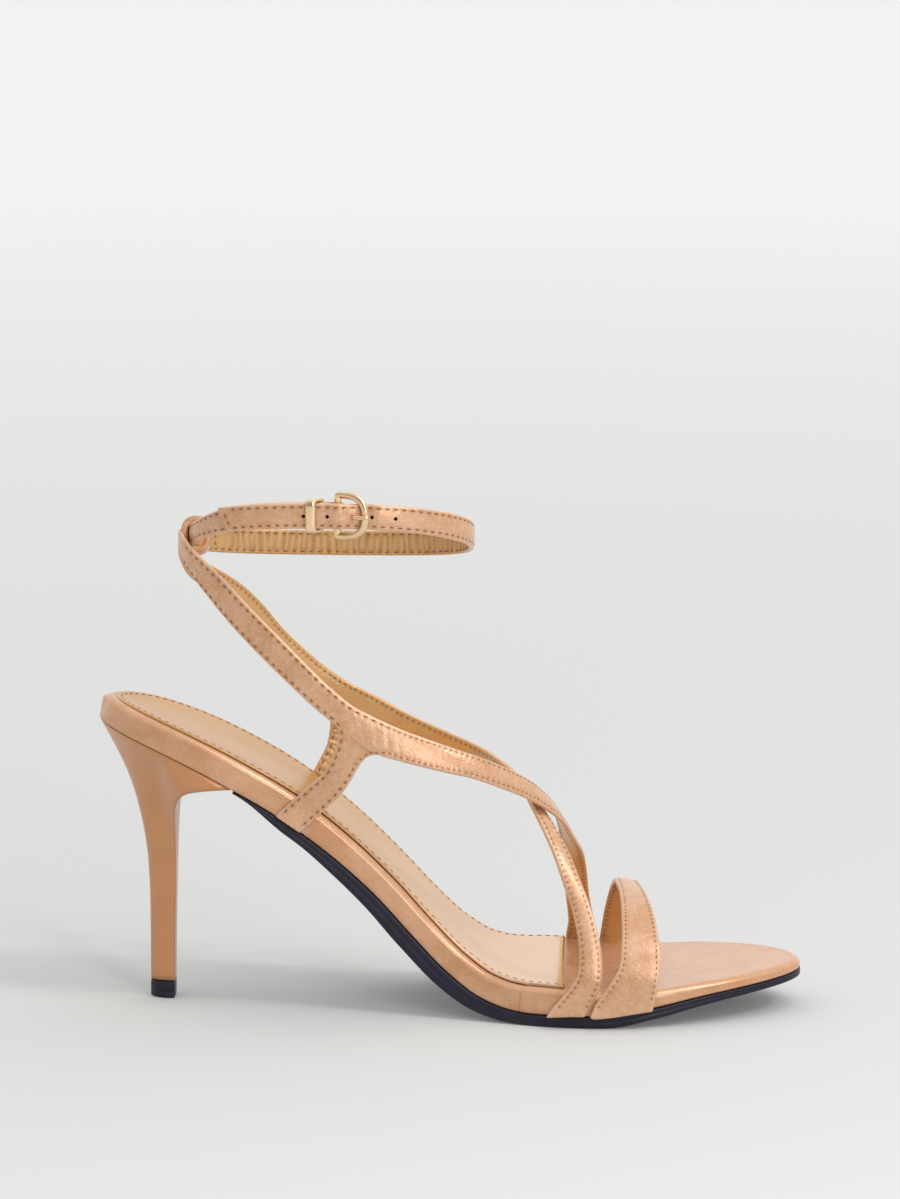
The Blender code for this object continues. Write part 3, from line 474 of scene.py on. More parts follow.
class SandalSizes(bpy.types.PropertyGroup):
    """Finishing sizes of the stitched leather"""

    crown: length("Strap crown", "How far a strap swells in its middle", 0.14 * MM)
    edge_round: length("Strap edge", "Width of a strap's rounded edge", 0.75 * MM)
    voxel: length("Joined leather", "Mesh size of the joined slings", 0.42 * MM)
    stitch_pitch: length("Stitch pitch", "Distance between stitches", 2.75 * MM)
    stitch_length: length("Stitch length", "Length of thread that shows", 1.55 * MM)
    thread: length("Thread", "Width of the thread", 0.36 * MM)
    stitch_inset: length("Stitch inset", "From a strap's edge to its row", 1.2 * MM)
    dimple: length("Stitch dimple", "How deep the thread pulls in", 0.16 * MM)
    rim_round: length("Rim", "Radius of the covered board's rim", 2.3 * MM)
    wrap_proud: length("Toe wrap", "Thickness of the toe cover's leather", 0.22 * MM)
    pleat_pitch: length("Pleat pitch", "Distance between lining pleats", 2.1 * MM)
    pleat_depth: length("Pleat depth", "Depth of the lining's pleats", 0.30 * MM)
    ring_count: IntProperty(name="Outline points", description="Points along one side of the sole",
                            default=170, min=24)


class SandalColours(bpy.types.PropertyGroup):
    """Colours of the sandal's materials"""

    leather: colour("Leather", "Straps and covered board", (0.60, 0.285, 0.130))
    # The lit leather colour makes random pale patches, a painted sheen on the grain's peaks and a
    # painted highlight along the strap edges
    leather_light: colour("Leather, lit", "Paler patches and worn edges", (0.88, 0.60, 0.41))
    heel: colour("Heel", "Leather wrap of the heel", (0.61, 0.27, 0.108))
    sock: colour("Sock", "Champagne-gold sock lining", (0.60, 0.325, 0.12))
    sock_light: colour("Sock, lit", "Pinkish sheen of the sock", (0.86, 0.62, 0.44))
    lining: colour("Lining", "Inner faces of the straps", (0.66, 0.38, 0.15))
    thread: colour("Thread", "Dark stitching", (0.20, 0.072, 0.022))
    rubber: colour("Outsole", "Outsole and heel tip", (0.009, 0.008, 0.018))
    metal: colour("Metal", "Buckle, prong and keeper", (0.84, 0.58, 0.34))
    # This colour is used for the painted shade in lining pleats, stitch dimples and at the sock's
    # edge, and for dust on the leather
    edge: colour("Cut edge", "Raw edges and seams", (0.30, 0.14, 0.06))


class SandalStage(bpy.types.PropertyGroup):
    """Floor and lights"""

    floor: colour("Floor", "Plain pale floor", (0.83, 0.84, 0.83))
    sky: colour("Surround", "Light from all round", (1.0, 1.0, 1.0))
    sky_power: power("Surround power", "Strength of the surround", 0.98)
    sun_power: power("Key power", "Strength of the key light", 0.5)
    strip_power: power("Strip power", "Strength of the strip lights", 3.6, "POWER")


def sizes():
    return bpy.context.scene.sandal_sizes


def colours():
    return bpy.context.scene.sandal_colours


# Curves and the last

def slopes(knots, values):
    """Monotone slopes at the knots, so that a flat stretch of a table stays flat."""
    steps = np.diff(knots)
    rates = np.diff(values) / steps
    out = np.zeros(len(knots))
    out[0] = rates[0]
    out[-1] = rates[-1]
    for i in range(1, len(knots) - 1):
        if rates[i - 1] * rates[i] > 0:
            first = 2 * steps[i] + steps[i - 1]
            second = steps[i] + 2 * steps[i - 1]
            out[i] = (first + second) / (first / rates[i - 1] + second / rates[i])
    return out


def smooth(knots, values, at):
    """A cubic through the values at the knots, without overshoot, at one or many places."""
    knots = np.asarray(knots, float)
    values = np.asarray(values, float)
    tangents = slopes(knots, values)
    at = np.clip(at, knots[0], knots[-1])
    i = np.clip(np.searchsorted(knots, at, side="right") - 1, 0, len(knots) - 2)
    span = knots[i + 1] - knots[i]
    t = (at - knots[i]) / span
    start = (1 + 2 * t) * (1 - t) ** 2 * values[i] + t * (1 - t) ** 2 * span * tangents[i]
    end = t * t * (3 - 2 * t) * values[i + 1] + t * t * (t - 1) * span * tangents[i + 1]
    return start + end


def column(table, key, name, at):
    return smooth([row[key] for row in table], [row[name] for row in table], at)


def ease(share):
    share = np.clip(share, 0.0, 1.0)
    return share * share * (3 - 2 * share)


def run_along(path):
    """The distance from a path's start to each of its points."""
    steps = np.linalg.norm(np.diff(path, axis=0), axis=1)
    return np.concatenate([[0.0], np.cumsum(steps)])


def unit(vectors):
    vectors = np.asarray(vectors, float)
    return vectors / np.maximum(np.linalg.norm(vectors, axis=-1, keepdims=True), 1e-12)


def angle_of(along):
    """Turns a share of the length into an angle, which rounds both ends of the outline."""
    return np.arccos(1 - 2 * np.clip(along, 0.0, 1.0))


def half_width(side, along):
    knots = angle_of(np.array([row["along"] for row in OUTLINE]))
    values = [row[side] for row in OUTLINE]
    return BALL_WIDTH * smooth(knots, values, angle_of(along))


def underside(along):
    """Height of the board's underside at a share of the length."""
    return TREAD + GAP + HEEL_RISE * column(SOLE, "along", "rise", along)


def last_point(along, y, height):
    """Points at a height above the board's underside, square to it."""
    step = 0.002
    fall = (underside(along + step) - underside(along - step)) / (2 * step * LENGTH)
    size = np.hypot(1.0, fall)
    x = along * LENGTH - HEEL_SET_BACK - fall / size * height
    return np.stack(np.broadcast_arrays(x, y, underside(along) + height / size), axis=-1)


def wall(along):
    return BOARD_WALL * column(SOLE, "along", "wall", along)


def seat(along, y):
    """Height of the board's top, a little hollow between its rims."""
    width = np.where(y < 0, half_width("lateral", along), half_width("medial", along))
    share = np.minimum(np.abs(y) / np.maximum(width, MM), 1.0)
    return wall(along) - SEAT_CUP * column(SOLE, "along", "cup", along) * (1 - share ** 2)


def outline_points(side, angles, inset):
    """Points of the sole's outline in plan, moved in by the inset."""
    sign = -1 if side == "lateral" else 1
    step = 0.01

    def at(turns):
        along = (1 - np.cos(np.clip(turns, 0.0, math.pi))) / 2
        return np.stack([along * LENGTH, sign * half_width(side, along)], axis=-1)

    run = at(angles + step) - at(angles - step)
    run[angles <= step] = (0.0, sign)
    run[angles >= math.pi - step] = (0.0, -sign)
    run = unit(run)
    inward = np.stack([run[:, 1], -run[:, 0]], axis=-1) * sign
    return at(angles) + inward * inset


def outline_loop(start, stop, inset):
    """A closed loop round a stretch of the sole, and the middle line that it shrinks to."""
    count = sizes().ring_count
    closing = count // 6
    first = angle_of(start + (inset / LENGTH if start > 0 else 0.0))
    last = angle_of(stop - (inset / LENGTH if stop < 1 else 0.0))
    angles = np.linspace(first, last, count)
    outer = outline_points("lateral", angles, inset)
    inner = outline_points("medial", angles, inset)
    middle = (outer + inner) / 2
    shares = np.linspace(0.0, 1.0, closing)[1:-1, None]
    parts = [outer]
    spines = [middle]
    if stop < 1:
        parts.append(outer[-1] + (inner[-1] - outer[-1]) * shares)
        spines.append(np.repeat(middle[-1:], len(shares), axis=0))
    parts.append(inner[::-1])
    spines.append(middle[::-1])
    if start > 0:
        parts.append(inner[0] + (outer[0] - inner[0]) * shares)
        spines.append(np.repeat(middle[:1], len(shares), axis=0))
    loop = np.vstack(parts)
    spine = np.vstack(spines)
    room = 12.0 * MM
    x = np.clip(spine[:, 0], middle[0, 0] + room, middle[-1, 0] - room)
    spine = np.stack([x, np.interp(x, middle[:, 0], middle[:, 1])], axis=-1)
    return loop, spine


# Meshes

def shaped_tube(rings):
    """A tube whose rings of points are given: a grid that is shaped and then welded."""
    rings = np.asarray(rings, float)
    columns = len(rings) - 1
    rows = rings.shape[1]
    bm = bmesh.new()
    made = bmesh.ops.create_grid(bm, x_segments=columns, y_segments=rows, size=1.0)
    for vert in made["verts"]:
        i = round((vert.co.x + 1) / 2 * columns)
        j = round((vert.co.y + 1) / 2 * rows) % rows
        vert.co = rings[i][j]
    return bm


def closed_tube(rings):
    return close_ends(shaped_tube(rings))


def close_ends(bm):
    """Welds seams and fills what is still open."""
    bmesh.ops.remove_doubles(bm, verts=bm.verts, dist=1e-6)
    bmesh.ops.dissolve_degenerate(bm, dist=1e-7, edges=bm.edges)
    open_edges = [edge for edge in bm.edges if edge.is_boundary]
    bmesh.ops.holes_fill(bm, edges=open_edges, sides=0)
    bmesh.ops.recalc_face_normals(bm, faces=bm.faces)
    return bm


def mesh_from(name, bm):
    """A mesh of a finished bmesh, which is freed."""
    mesh = bpy.data.meshes.new(name)
    bm.to_mesh(mesh)
    bm.free()
    return mesh


def add_object(name, data):
    made = bpy.data.objects.new(name, data)
    bpy.context.scene.collection.objects.link(made)
    return made


def add_piece(name, bm, material, replaces=()):
    """Links a finished bmesh as a piece of the sandal that rides on the frame."""
    mesh = mesh_from(name, bm)
    for polygon in mesh.polygons:
        polygon.use_smooth = True
    mesh.materials.append(material)
    piece = add_object(name, mesh)
    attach(piece, "root")
    if replaces:
        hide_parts(*replaces)
    return piece


def plate(start, stop, levels):
    """A closed plate: rings round the outline that shrink to a middle line on both faces."""
    rings = []
    for inset, shrink, height in levels:
        loop, spine = outline_loop(start, stop, inset)
        plan = loop + (spine - loop) * shrink
        along = plan[:, 0] / LENGTH
        rings.append(last_point(along, plan[:, 1], height(along, plan[:, 1])))
    return closed_tube(rings)


def evaluated(piece):
    """The piece's mesh with its modifiers applied."""
    graph = bpy.context.evaluated_depsgraph_get()
    graph.update()
    return bpy.data.meshes.new_from_object(piece.evaluated_get(graph))


def set_values(mesh, name, values):
    """Stores one number for each point of a mesh, for its material to read."""
    attribute = mesh.attributes.new(name, "FLOAT", "POINT")
    attribute.data.foreach_set("value", np.asarray(values, np.float32))


def values_of(mesh, what):
    """The place ("co") or "normal" of each point of a mesh."""
    out = np.zeros(len(mesh.vertices) * 3)
    mesh.vertices.foreach_get(what, out)
    return out.reshape(-1, 3)


def points_of(mesh):
    return values_of(mesh, "co")


def faces_over(mesh, points):
    """Search tree of the mesh's faces over the given points."""
    return BVHTree.FromPolygons([tuple(point) for point in points],
                                [tuple(face.vertices) for face in mesh.polygons])


def tree_of(points):
    """Nearest-point search tree."""
    tree = KDTree(len(points))
    for index, point in enumerate(points):
        tree.insert(point, index)
    tree.balance()
    return tree


def move_points(mesh, points):
    mesh.vertices.foreach_set("co", np.asarray(points, np.float32).ravel())
    mesh.update()


# Node groups and materials

def new_group(name, inputs, outputs):
    """A node group with a place, plain inputs and plain outputs: its tree and both ends."""
    tree = bpy.data.node_groups.new(name, "ShaderNodeTree")
    tree.interface.new_socket("Place", in_out="INPUT", socket_type="NodeSocketVector")
    for label, value in inputs.items():
        socket = tree.interface.new_socket(label, in_out="INPUT", socket_type="NodeSocketFloat")
        socket.default_value = value
    for label in outputs:
        tree.interface.new_socket(label, in_out="OUTPUT", socket_type="NodeSocketFloat")
    given = tree.nodes.new("NodeGroupInput").outputs
    return tree, given, tree.nodes.new("NodeGroupOutput").inputs


def add_node(tree, kind, **values):
    """A node whose properties and plain inputs are set by name."""
    node = tree.nodes.new(kind)
    for key, value in values.items():
        if hasattr(node, key):
            setattr(node, key, value)
        else:
            node.inputs[key].default_value = value
    return node


def feed(tree, value, socket):
    """Links a socket, or sets a number or colour."""
    if isinstance(value, bpy.types.NodeSocket):
        tree.links.new(value, socket)
    elif isinstance(value, (int, float)):
        socket.default_value = value
    else:
        socket.default_value = (*tuple(value)[:3], 1.0)


def maths(tree, operation, first, second=None, clamp=False):
    """A Math node fed by sockets or numbers; returns its result."""
    node = add_node(tree, "ShaderNodeMath", operation=operation, use_clamp=clamp)
    feed(tree, first, node.inputs[0])
    if second is not None:
        feed(tree, second, node.inputs[1])
    return node.outputs[0]


def stretched(tree, value, start, gain):
    """What a value has above a start, times a gain, from 0 to 1."""
    return maths(tree, "MULTIPLY", maths(tree, "SUBTRACT", value, start), gain, clamp=True)


def blend_colour(tree, factor, first, second):
    node = add_node(tree, "ShaderNodeMix", data_type="RGBA")
    for value, slot in ((factor, 0), (first, 6), (second, 7)):
        feed(tree, value, node.inputs[slot])
    return node.outputs[2]


def attribute(tree, name):
    return add_node(tree, "ShaderNodeAttribute", attribute_name=name).outputs["Fac"]


def masked(tree, name, share, base, over):
    """A colour over the base where the mesh's mask of that name is set."""
    mask = maths(tree, "MULTIPLY", attribute(tree, name), share, clamp=True)
    return blend_colour(tree, mask, base, over)


def own_place(tree):
    """The piece's own coordinates."""
    return tree.nodes.new("ShaderNodeTexCoord").outputs["Object"]


def own_axes(tree):
    split = tree.nodes.new("ShaderNodeSeparateXYZ")
    tree.links.new(own_place(tree), split.inputs[0])
    return split.outputs


def noise_at(tree, place, scale, kind="ShaderNodeTexNoise", **values):
    """The value of a noise at a place; its scale is a socket or a number."""
    node = add_node(tree, kind, **values)
    tree.links.new(place, node.inputs["Vector"])
    feed(tree, scale, node.inputs["Scale"])
    return node.outputs[0]


def grain_group():
    """Fine pebbled grain with soft wrinkles: a height, and a slow mottling."""
    made = bpy.data.node_groups.get("leather_grain")
    if made:
        return made
    tree, given, out = new_group("leather_grain", {"Grain": 1400.0, "Wrinkle": 420.0,
                                                   "Patch": 90.0}, ("Height", "Mottle"))
    place = given["Place"]
    cells = noise_at(tree, place, given["Grain"], "ShaderNodeTexVoronoi", feature="SMOOTH_F1",
                     Smoothness=0.6)
    folds = noise_at(tree, place, given["Wrinkle"], Detail=3.0, Roughness=0.55, Distortion=0.7)
    patches = noise_at(tree, place, given["Patch"], Detail=4.0, Roughness=0.6)
    crinkle = noise_at(tree, place, maths(tree, "MULTIPLY", given["Grain"], CRINKLE_SCALE),
                       Detail=4.0, Roughness=0.65, Distortion=0.4)
    crease = maths(tree, "ABSOLUTE", maths(tree, "SUBTRACT", folds, 0.5))
    height = 0.0
    for part, share in zip((cells, crease, crinkle), GRAIN_SHARES):
        height = maths(tree, "ADD", height, maths(tree, "MULTIPLY", part, share))
    tree.links.new(height, out["Height"])
    tree.links.new(patches, out["Mottle"])
    return tree


def soil_group():
    """Dust and rub marks, as a mask in slow patches."""
    made = bpy.data.node_groups.get("soft_soil")
    if made:
        return made
    tree, given, out = new_group("soft_soil", {"Scale": 60.0, "Amount": 0.5}, ("Mask",))
    noise = noise_at(tree, given["Place"], given["Scale"], Detail=6.0, Roughness=0.7)
    raised = stretched(tree, noise, start=0.45, gain=3.0)
    tree.links.new(maths(tree, "MULTIPLY", raised, given["Amount"], clamp=True), out["Mask"])
    return tree


def place_on(tree, group, **values):
    """The outputs of a node group that is fed with the piece's own coordinates."""
    node = add_node(tree, "ShaderNodeGroup", node_tree=group)
    tree.links.new(own_place(tree), node.inputs["Place"])
    for key, value in values.items():
        node.inputs[key].default_value = value
    return node.outputs


def base_material(name, roughness, metallic=0.0, coat=0.0, coat_rough=0.2):
    made = bpy.data.materials.new(name)
    made.use_nodes = True
    shader = made.node_tree.nodes["Principled BSDF"].inputs
    shader["Roughness"].default_value = roughness
    shader["Metallic"].default_value = metallic
    shader["Coat Weight"].default_value = coat
    shader["Coat Roughness"].default_value = coat_rough
    return made, made.node_tree, shader


def bump(tree, shader, height, distance, strength):
    node = add_node(tree, "ShaderNodeBump", Strength=strength, Distance=distance)
    tree.links.new(height, node.inputs["Height"])
    tree.links.new(node.outputs["Normal"], shader["Normal"])


def surface(kind):
    """A material whose roughness and bump follow its grain, before it has a colour."""
    row = next(row for row in SURFACES if row["kind"] == kind)
    made, tree, shader = base_material(kind, row["rough"], row["metal"], row["coat"],
                                       row["coat_rough"])
    skin = place_on(tree, grain_group(), Grain=row["grain"], Wrinkle=row["wrinkle"],
                    Patch=row["patch"])
    rough = maths(tree, "MULTIPLY", skin["Mottle"], row["swing"])
    tree.links.new(maths(tree, "ADD", rough, row["least"]), shader["Roughness"])
    bump(tree, shader, skin["Height"], row["depth"], row["bump"])
    return made, tree, shader, skin


def leather_material(kind, dark, light, sheen_flecks, lining=None):
    """Satin metallic leather; a strap also has a lining, a painted highlight along its edges, and
    painted shade in its stitch dimples and lining pleats.
    """
    made, tree, shader, skin = surface(kind)
    base = blend_colour(tree, stretched(tree, skin["Mottle"], start=0.36, gain=2.0), dark, light)
    base = blend_colour(tree, 0.5, base, dark)
    # Pale flecks on the grain's peaks: a painted sheen
    sheen_fleck = stretched(tree, skin["Height"], start=0.45, gain=sheen_flecks)
    base = blend_colour(tree, sheen_fleck, base, light)
    # Paler strap edges: a painted highlight
    base = masked(tree, "edge", 0.45, base, light)
    if lining is not None:
        base = masked(tree, "lining", 1.0, base, lining)
        # Darker lining pleats: painted shade in their troughs
        base = masked(tree, "pleat", 0.55, base, colours().edge)
    # Darker stitch dimples: painted shade
    base = masked(tree, "dimple", 0.5, base, colours().edge)
    soil = place_on(tree, soil_group(), Scale=75.0, Amount=0.10)
    base = blend_colour(tree, soil["Mask"], base, colours().edge)
    tree.links.new(base, shader["Base Color"])
    return made


def sock_material():
    """Champagne satin: a painted pinkish sheen ahead and in pale patches, golden at its front hem,
    and painted shade at its edge by the board's rim.
    """
    made, tree, shader, skin = surface("sock_satin")
    # Pale patches of the sheen colour: a painted sheen
    patch = stretched(tree, skin["Mottle"], start=0.38, gain=2.4)
    patch = maths(tree, "MULTIPLY", patch, SOCK_SHEEN_PATCHES)
    base = blend_colour(tree, patch, colours().sock, colours().sock_light)
    # Pinker ahead: a painted sheen across the forefoot
    ahead = stretched(tree, own_axes(tree)["X"], start=0.060, gain=14.0)
    base = blend_colour(tree, ahead, base, colours().sock_light)
    base = masked(tree, "hem", 1.0, base, HEM_GOLD)
    # Darker edge: painted shade in the gap between the sock and the board's rim
    base = masked(tree, "edge", 0.6, base, colours().edge)
    tree.links.new(base, shader["Base Color"])
    return made


def rubber_material(kind):
    """Matt rubber with a little dust."""
    made, tree, shader, skin = surface(kind)
    shader["Specular IOR Level"].default_value = 0.3
    base = blend_colour(tree, skin["Mottle"], colours().rubber, RUBBER_WORN)
    soil = place_on(tree, soil_group(), Scale=130.0, Amount=0.12)
    base = blend_colour(tree, soil["Mask"], base, DUST)
    tree.links.new(base, shader["Base Color"])
    return made


def metal_material():
    made, tree, shader, skin = surface("pale_gold_plate")
    base = blend_colour(tree, skin["Mottle"], colours().metal, METAL_LIT)
    tree.links.new(base, shader["Base Color"])
    return made


def thread_material():
    made, tree, shader = base_material("dark_thread", 0.85)
    shader["Specular IOR Level"].default_value = 0.15
    fibre = noise_at(tree, own_place(tree), 4200.0, Detail=2.0)
    base = blend_colour(tree, fibre, colours().thread, THREAD_LIT)
    tree.links.new(base, shader["Base Color"])
    bump(tree, shader, fibre, 0.05 * MM, 0.6)
    return made


def shade_material():
    """The dark inside of a punched hole."""
    made, tree, shader = base_material("hole_shade", 0.8)
    # The soil mask here only mottles the painted shade inside the hole
    soil = place_on(tree, soil_group(), Scale=900.0, Amount=0.6)
    tree.links.new(blend_colour(tree, soil["Mask"], HOLE_DARK, HOLE_LIT), shader["Base Color"])
    return made


def shared(kind):
    """A material of the sandal, made the first time that it is asked for."""
    made = bpy.data.materials.get(kind)
    if made:
        return made
    tone = colours()
    leather = (tone.leather, tone.leather_light)
    makers = {
        "strap_skin": lambda: leather_material(kind, *leather, STRAP_SHEEN_FLECKS, tone.lining),
        "board_wrap": lambda: leather_material(kind, *leather, WRAP_SHEEN_FLECKS),
        "heel_wrap": lambda: leather_material(kind, tone.heel, tone.leather, WRAP_SHEEN_FLECKS),
        "outsole_skin": lambda: rubber_material(kind),
        "tip_skin": lambda: rubber_material(kind),
        "sock_satin": sock_material,
        "pale_gold_plate": metal_material,
        "dark_thread": thread_material,
        "hole_shade": shade_material,
    }
    return makers[kind]()


# Sole pieces

def face_levels(inset, height, shares):
    return [(inset, share, height) for share in shares]


def board_levels(proud, foot):
    """From the underside's middle, round the wall and rim, to the middle of the top."""
    def soft_rim(along):
        return np.minimum(sizes().rim_round, RIM_LIMIT * wall(along))

    def flat(height):
        return lambda along, y: np.full_like(along, height)

    def up_wall(share):
        return lambda along, y: share * (wall(along) + proud - soft_rim(along))

    def top(along, y):
        return seat(along, y) + proud

    levels = face_levels(-proud + 0.3 * MM, flat(foot), (1.0, 0.5, 0.0))
    levels += [(-proud, 0.0, up_wall(share)) for share in (0.06, 0.35, 0.68, 1.0)]
    steps = 8
    for k in range(1, steps + 1):
        turn = math.pi / 2 * k / steps

        def rim_height(along, y, turn=turn):
            high = wall(along) + proud - soft_rim(along) * (1 - math.sin(turn))
            return np.minimum(high, wall(along) + proud)

        inset = sizes().rim_round * (1 - math.cos(turn)) - proud
        levels.append((inset, 0.0, rim_height))
    inner = sizes().rim_round - proud
    levels += face_levels(inner, top, (0.02, 0.06, 0.12, 0.22, 0.34, 0.48, 0.64, 0.82, 1.0))
    return levels


def make_board():
    bm = plate(0.0, 1.0, board_levels(0.0, 0.0))
    add_piece("board_wrap_rear", bm, shared("board_wrap"), ["covered_board"])


def make_toe_cover():
    """The toe's leather, lapped over the rear wrap ahead of the side seams."""
    bm = plate(TOE_COVER_START, 1.0, board_levels(sizes().wrap_proud, 0.2 * MM))
    add_piece("board_wrap_toe", bm, shared("board_wrap"))


def fold_heights(x, y):
    """Soft troughs and ridges of the sock."""
    total = np.zeros_like(x)
    for fold in SOCK_FOLDS:
        turn = math.radians(fold["turn"])
        dx = x - fold["x"]
        dy = y - fold["y"]
        u = dx * math.cos(turn) + dy * math.sin(turn)
        v = dy * math.cos(turn) - dx * math.sin(turn)
        total += fold["deep"] * np.exp(-(u / fold["long"]) ** 2 - (v / fold["wide"]) ** 2)
    return total


def make_sock():
    """The sock lining: a thin sheet with an eased edge, cut off behind the ball."""
    def above(share):
        def height(along, y):
            x = along * LENGTH - HEEL_SET_BACK
            lift = fold_heights(x, y) * ease((share - 0.5) * 2)
            return seat(along, y) + GAP + share * SOCK_THICK + lift
        return height

    levels = face_levels(SOCK_INSET + 0.2 * MM, above(0.0), (1.0, 0.5, 0.0))
    levels += [(SOCK_INSET, 0.0, above(0.25)), (SOCK_INSET, 0.0, above(0.6))]
    levels += [(SOCK_INSET + 0.15 * MM, 0.0, above(0.85)), (SOCK_INSET + 0.5 * MM, 0.0, above(1.0))]
    inner = SOCK_INSET + 0.5 * MM
    shares = (0.03, 0.07, 0.11, 0.16, 0.22, 0.30, 0.38, 0.47, 0.56, 0.66, 0.77, 0.88, 1.0)
    levels += face_levels(inner, above(1.0), shares)
    bm = plate(0.0, SOCK_END_SHARE, levels)
    piece = add_piece("sock_sheet", bm, shared("sock_satin"), ["sock_lining"])
    loop, _ = outline_loop(0.0, SOCK_END_SHARE, SOCK_INSET)
    edge = distance_to_line(points_of(piece.data)[:, :2] + (HEEL_SET_BACK, 0.0), loop)
    # Mask of the sock's edge, which its material darkens as painted shade
    set_values(piece.data, "edge", 1 - ease(edge / (0.9 * MM)))
    front = SOCK_END_SHARE * LENGTH - HEEL_SET_BACK - SOCK_INSET
    behind = front - points_of(piece.data)[:, 0]
    set_values(piece.data, "hem", 1 - ease((behind - SOCK_HEM) / (0.3 * MM)))


def distance_to_line(points, line):
    tree = tree_of([(*point, 0.0) for point in line])
    return np.array([tree.find((x, y, 0.0))[2] for x, y in points])


def make_outsole():
    """The dark outsole: rounded edges, a fine groove round its side and a proud lip."""
    def depth(share):
        def height(along, y):
            thin = TREAD_END + (1 - TREAD_END) * ease((along - BREAST_SHARE) / TREAD_FADE)
            return -GAP - share * thin * TREAD * column(SOLE, "along", "tread", along)
        return height

    proud = -TREAD_PROUD
    levels = face_levels(proud + 0.9 * MM, depth(1.0), (1.0, 0.6, 0.3, 0.0))
    rows = ((0.35, 0.95), (0.08, 0.84), (0.0, 0.70), (0.0, 0.52), (0.16, 0.45), (0.16, 0.40),
            (0.0, 0.33), (0.0, 0.16), (0.06, 0.06), (0.3, 0.0))
    levels += [(proud + inset * MM, 0.0, depth(share)) for inset, share in rows]
    levels += face_levels(proud + 0.3 * MM, depth(0.0), (0.4, 1.0))
    bm = plate(BREAST_SHARE + GAP / LENGTH, 1.0, levels)
    add_piece("outsole_tread", bm, shared("outsole_skin"), ["outsole"])


def heel_ring(loop, drop):
    """The seat's outline drawn in towards the shaft at a share of the way down."""
    top = TIP_HEIGHT + GAP
    back, front, side = (column(HEEL, "drop", name, drop) for name in ("back", "front", "side"))
    widest = max(half_width("lateral", 0.2), half_width("medial", 0.2))
    ahead = loop[:, 0] > 0
    reach = np.where(ahead, BREAST_SHARE * LENGTH - HEEL_SET_BACK, HEEL_SET_BACK)
    depth = SHAFT_DEPTH / 2 * np.clip(loop[:, 0] / reach, -1.0, 1.0)
    keep = np.where(ahead, front, back)
    shaft_y = SHAFT_WIDTH / 2 * loop[:, 1] / widest
    x = depth + keep * (loop[:, 0] - depth)
    y = shaft_y + side * (loop[:, 1] - shaft_y)
    z = loop[:, 2] + drop * (top - loop[:, 2])
    return np.stack([x, y, z], axis=-1)


def softened(ring, rounds):
    """Rounds the corners of a closed ring."""
    for _ in range(rounds):
        ring = 0.5 * ring + 0.25 * (np.roll(ring, 1, axis=0) + np.roll(ring, -1, axis=0))
    return ring


def drawn_in(ring, share):
    middle = ring.mean(axis=0)
    return ring + (middle - ring) * share


def even_ring(ring, count):
    """The same closed ring with its points evenly spaced."""
    closed = np.vstack([ring, ring[:1]])
    run = run_along(closed)
    at = np.linspace(0.0, run[-1], count, endpoint=False)
    return np.stack([np.interp(at, run, closed[:, k]) for k in range(3)], axis=-1)


def make_heel():
    """The slim covered heel, its lower rim and its rubber tip."""
    loop, _ = outline_loop(0.0, BREAST_SHARE, HEEL_INSET)
    along = loop[:, 0] / LENGTH
    seat_ring = last_point(along, loop[:, 1], np.full_like(along, -GAP))
    drops = np.concatenate([np.linspace(0.0, 0.06, 12), np.linspace(0.07, 0.35, 22),
                            np.linspace(0.38, 1.0, 22)])
    rings = []
    for drop in drops:
        ring = even_ring(softened(heel_ring(seat_ring, drop), 3), 140)
        rings.append(softened(ring, round(4 + 10 * ease(drop * 5))))
    foot = rings[-1]
    closed = [drawn_in(rings[0], 1.0), drawn_in(rings[0], 0.4)] + rings
    closed += [drawn_in(foot, 0.06), drawn_in(foot, 1.0)]
    bm = closed_tube(closed)
    add_piece("heel_shaft", bm, shared("heel_wrap"), ["heel"])
    make_heel_tip(foot)


def make_heel_tip(foot):
    def at(height, share):
        ring = drawn_in(foot, share)
        ring[:, 2] = height
        return ring

    rows = ((0.0, 1.0), (0.0, 0.5), (0.0, 0.16), (0.15, 0.08), (0.5, 0.0), (1.9, -0.02),
            (2.05, 0.03), (2.3, 0.03), (2.45, -0.02), (5.2, 0.0), (5.5, 0.03), (5.6, 0.1),
            (5.6, 1.0))
    rings = [at(height * MM, share) for height, share in rows]
    bm = closed_tube(rings)
    add_piece("heel_top_piece", bm, shared("tip_skin"), ["heel_tip"])


# Straps

def strap_place(row):
    along = row["along"]
    z = underside(along) + row["up"] * INSTEP
    return np.array([along * LENGTH - HEEL_SET_BACK, row["across"] * BALL_WIDTH, z])


def through(points, count):
    """Points on a smooth curve through the given ones."""
    points = np.asarray(points, float)
    padded = np.vstack([2 * points[0] - points[1], points, 2 * points[-1] - points[-2]])
    s = np.linspace(0.0, len(points) - 1, count)
    i = np.minimum(s.astype(int), len(points) - 2)
    t = (s - i)[:, None]
    a, b, c, d = (padded[i + k] for k in range(4))
    return 0.5 * (2 * b + (c - a) * t + (2 * a - 5 * b + 4 * c - d) * t * t
                  + (3 * b - a - 3 * c + d) * t ** 3)


def evenly(path, step):
    """The path again with points at an even distance."""
    run = run_along(path[:, :3])
    count = max(int(round(run[-1] / step)) + 1, 3)
    at = np.linspace(0.0, run[-1], count)
    return np.stack([np.interp(at, run, path[:, k]) for k in range(path.shape[1])], axis=-1)


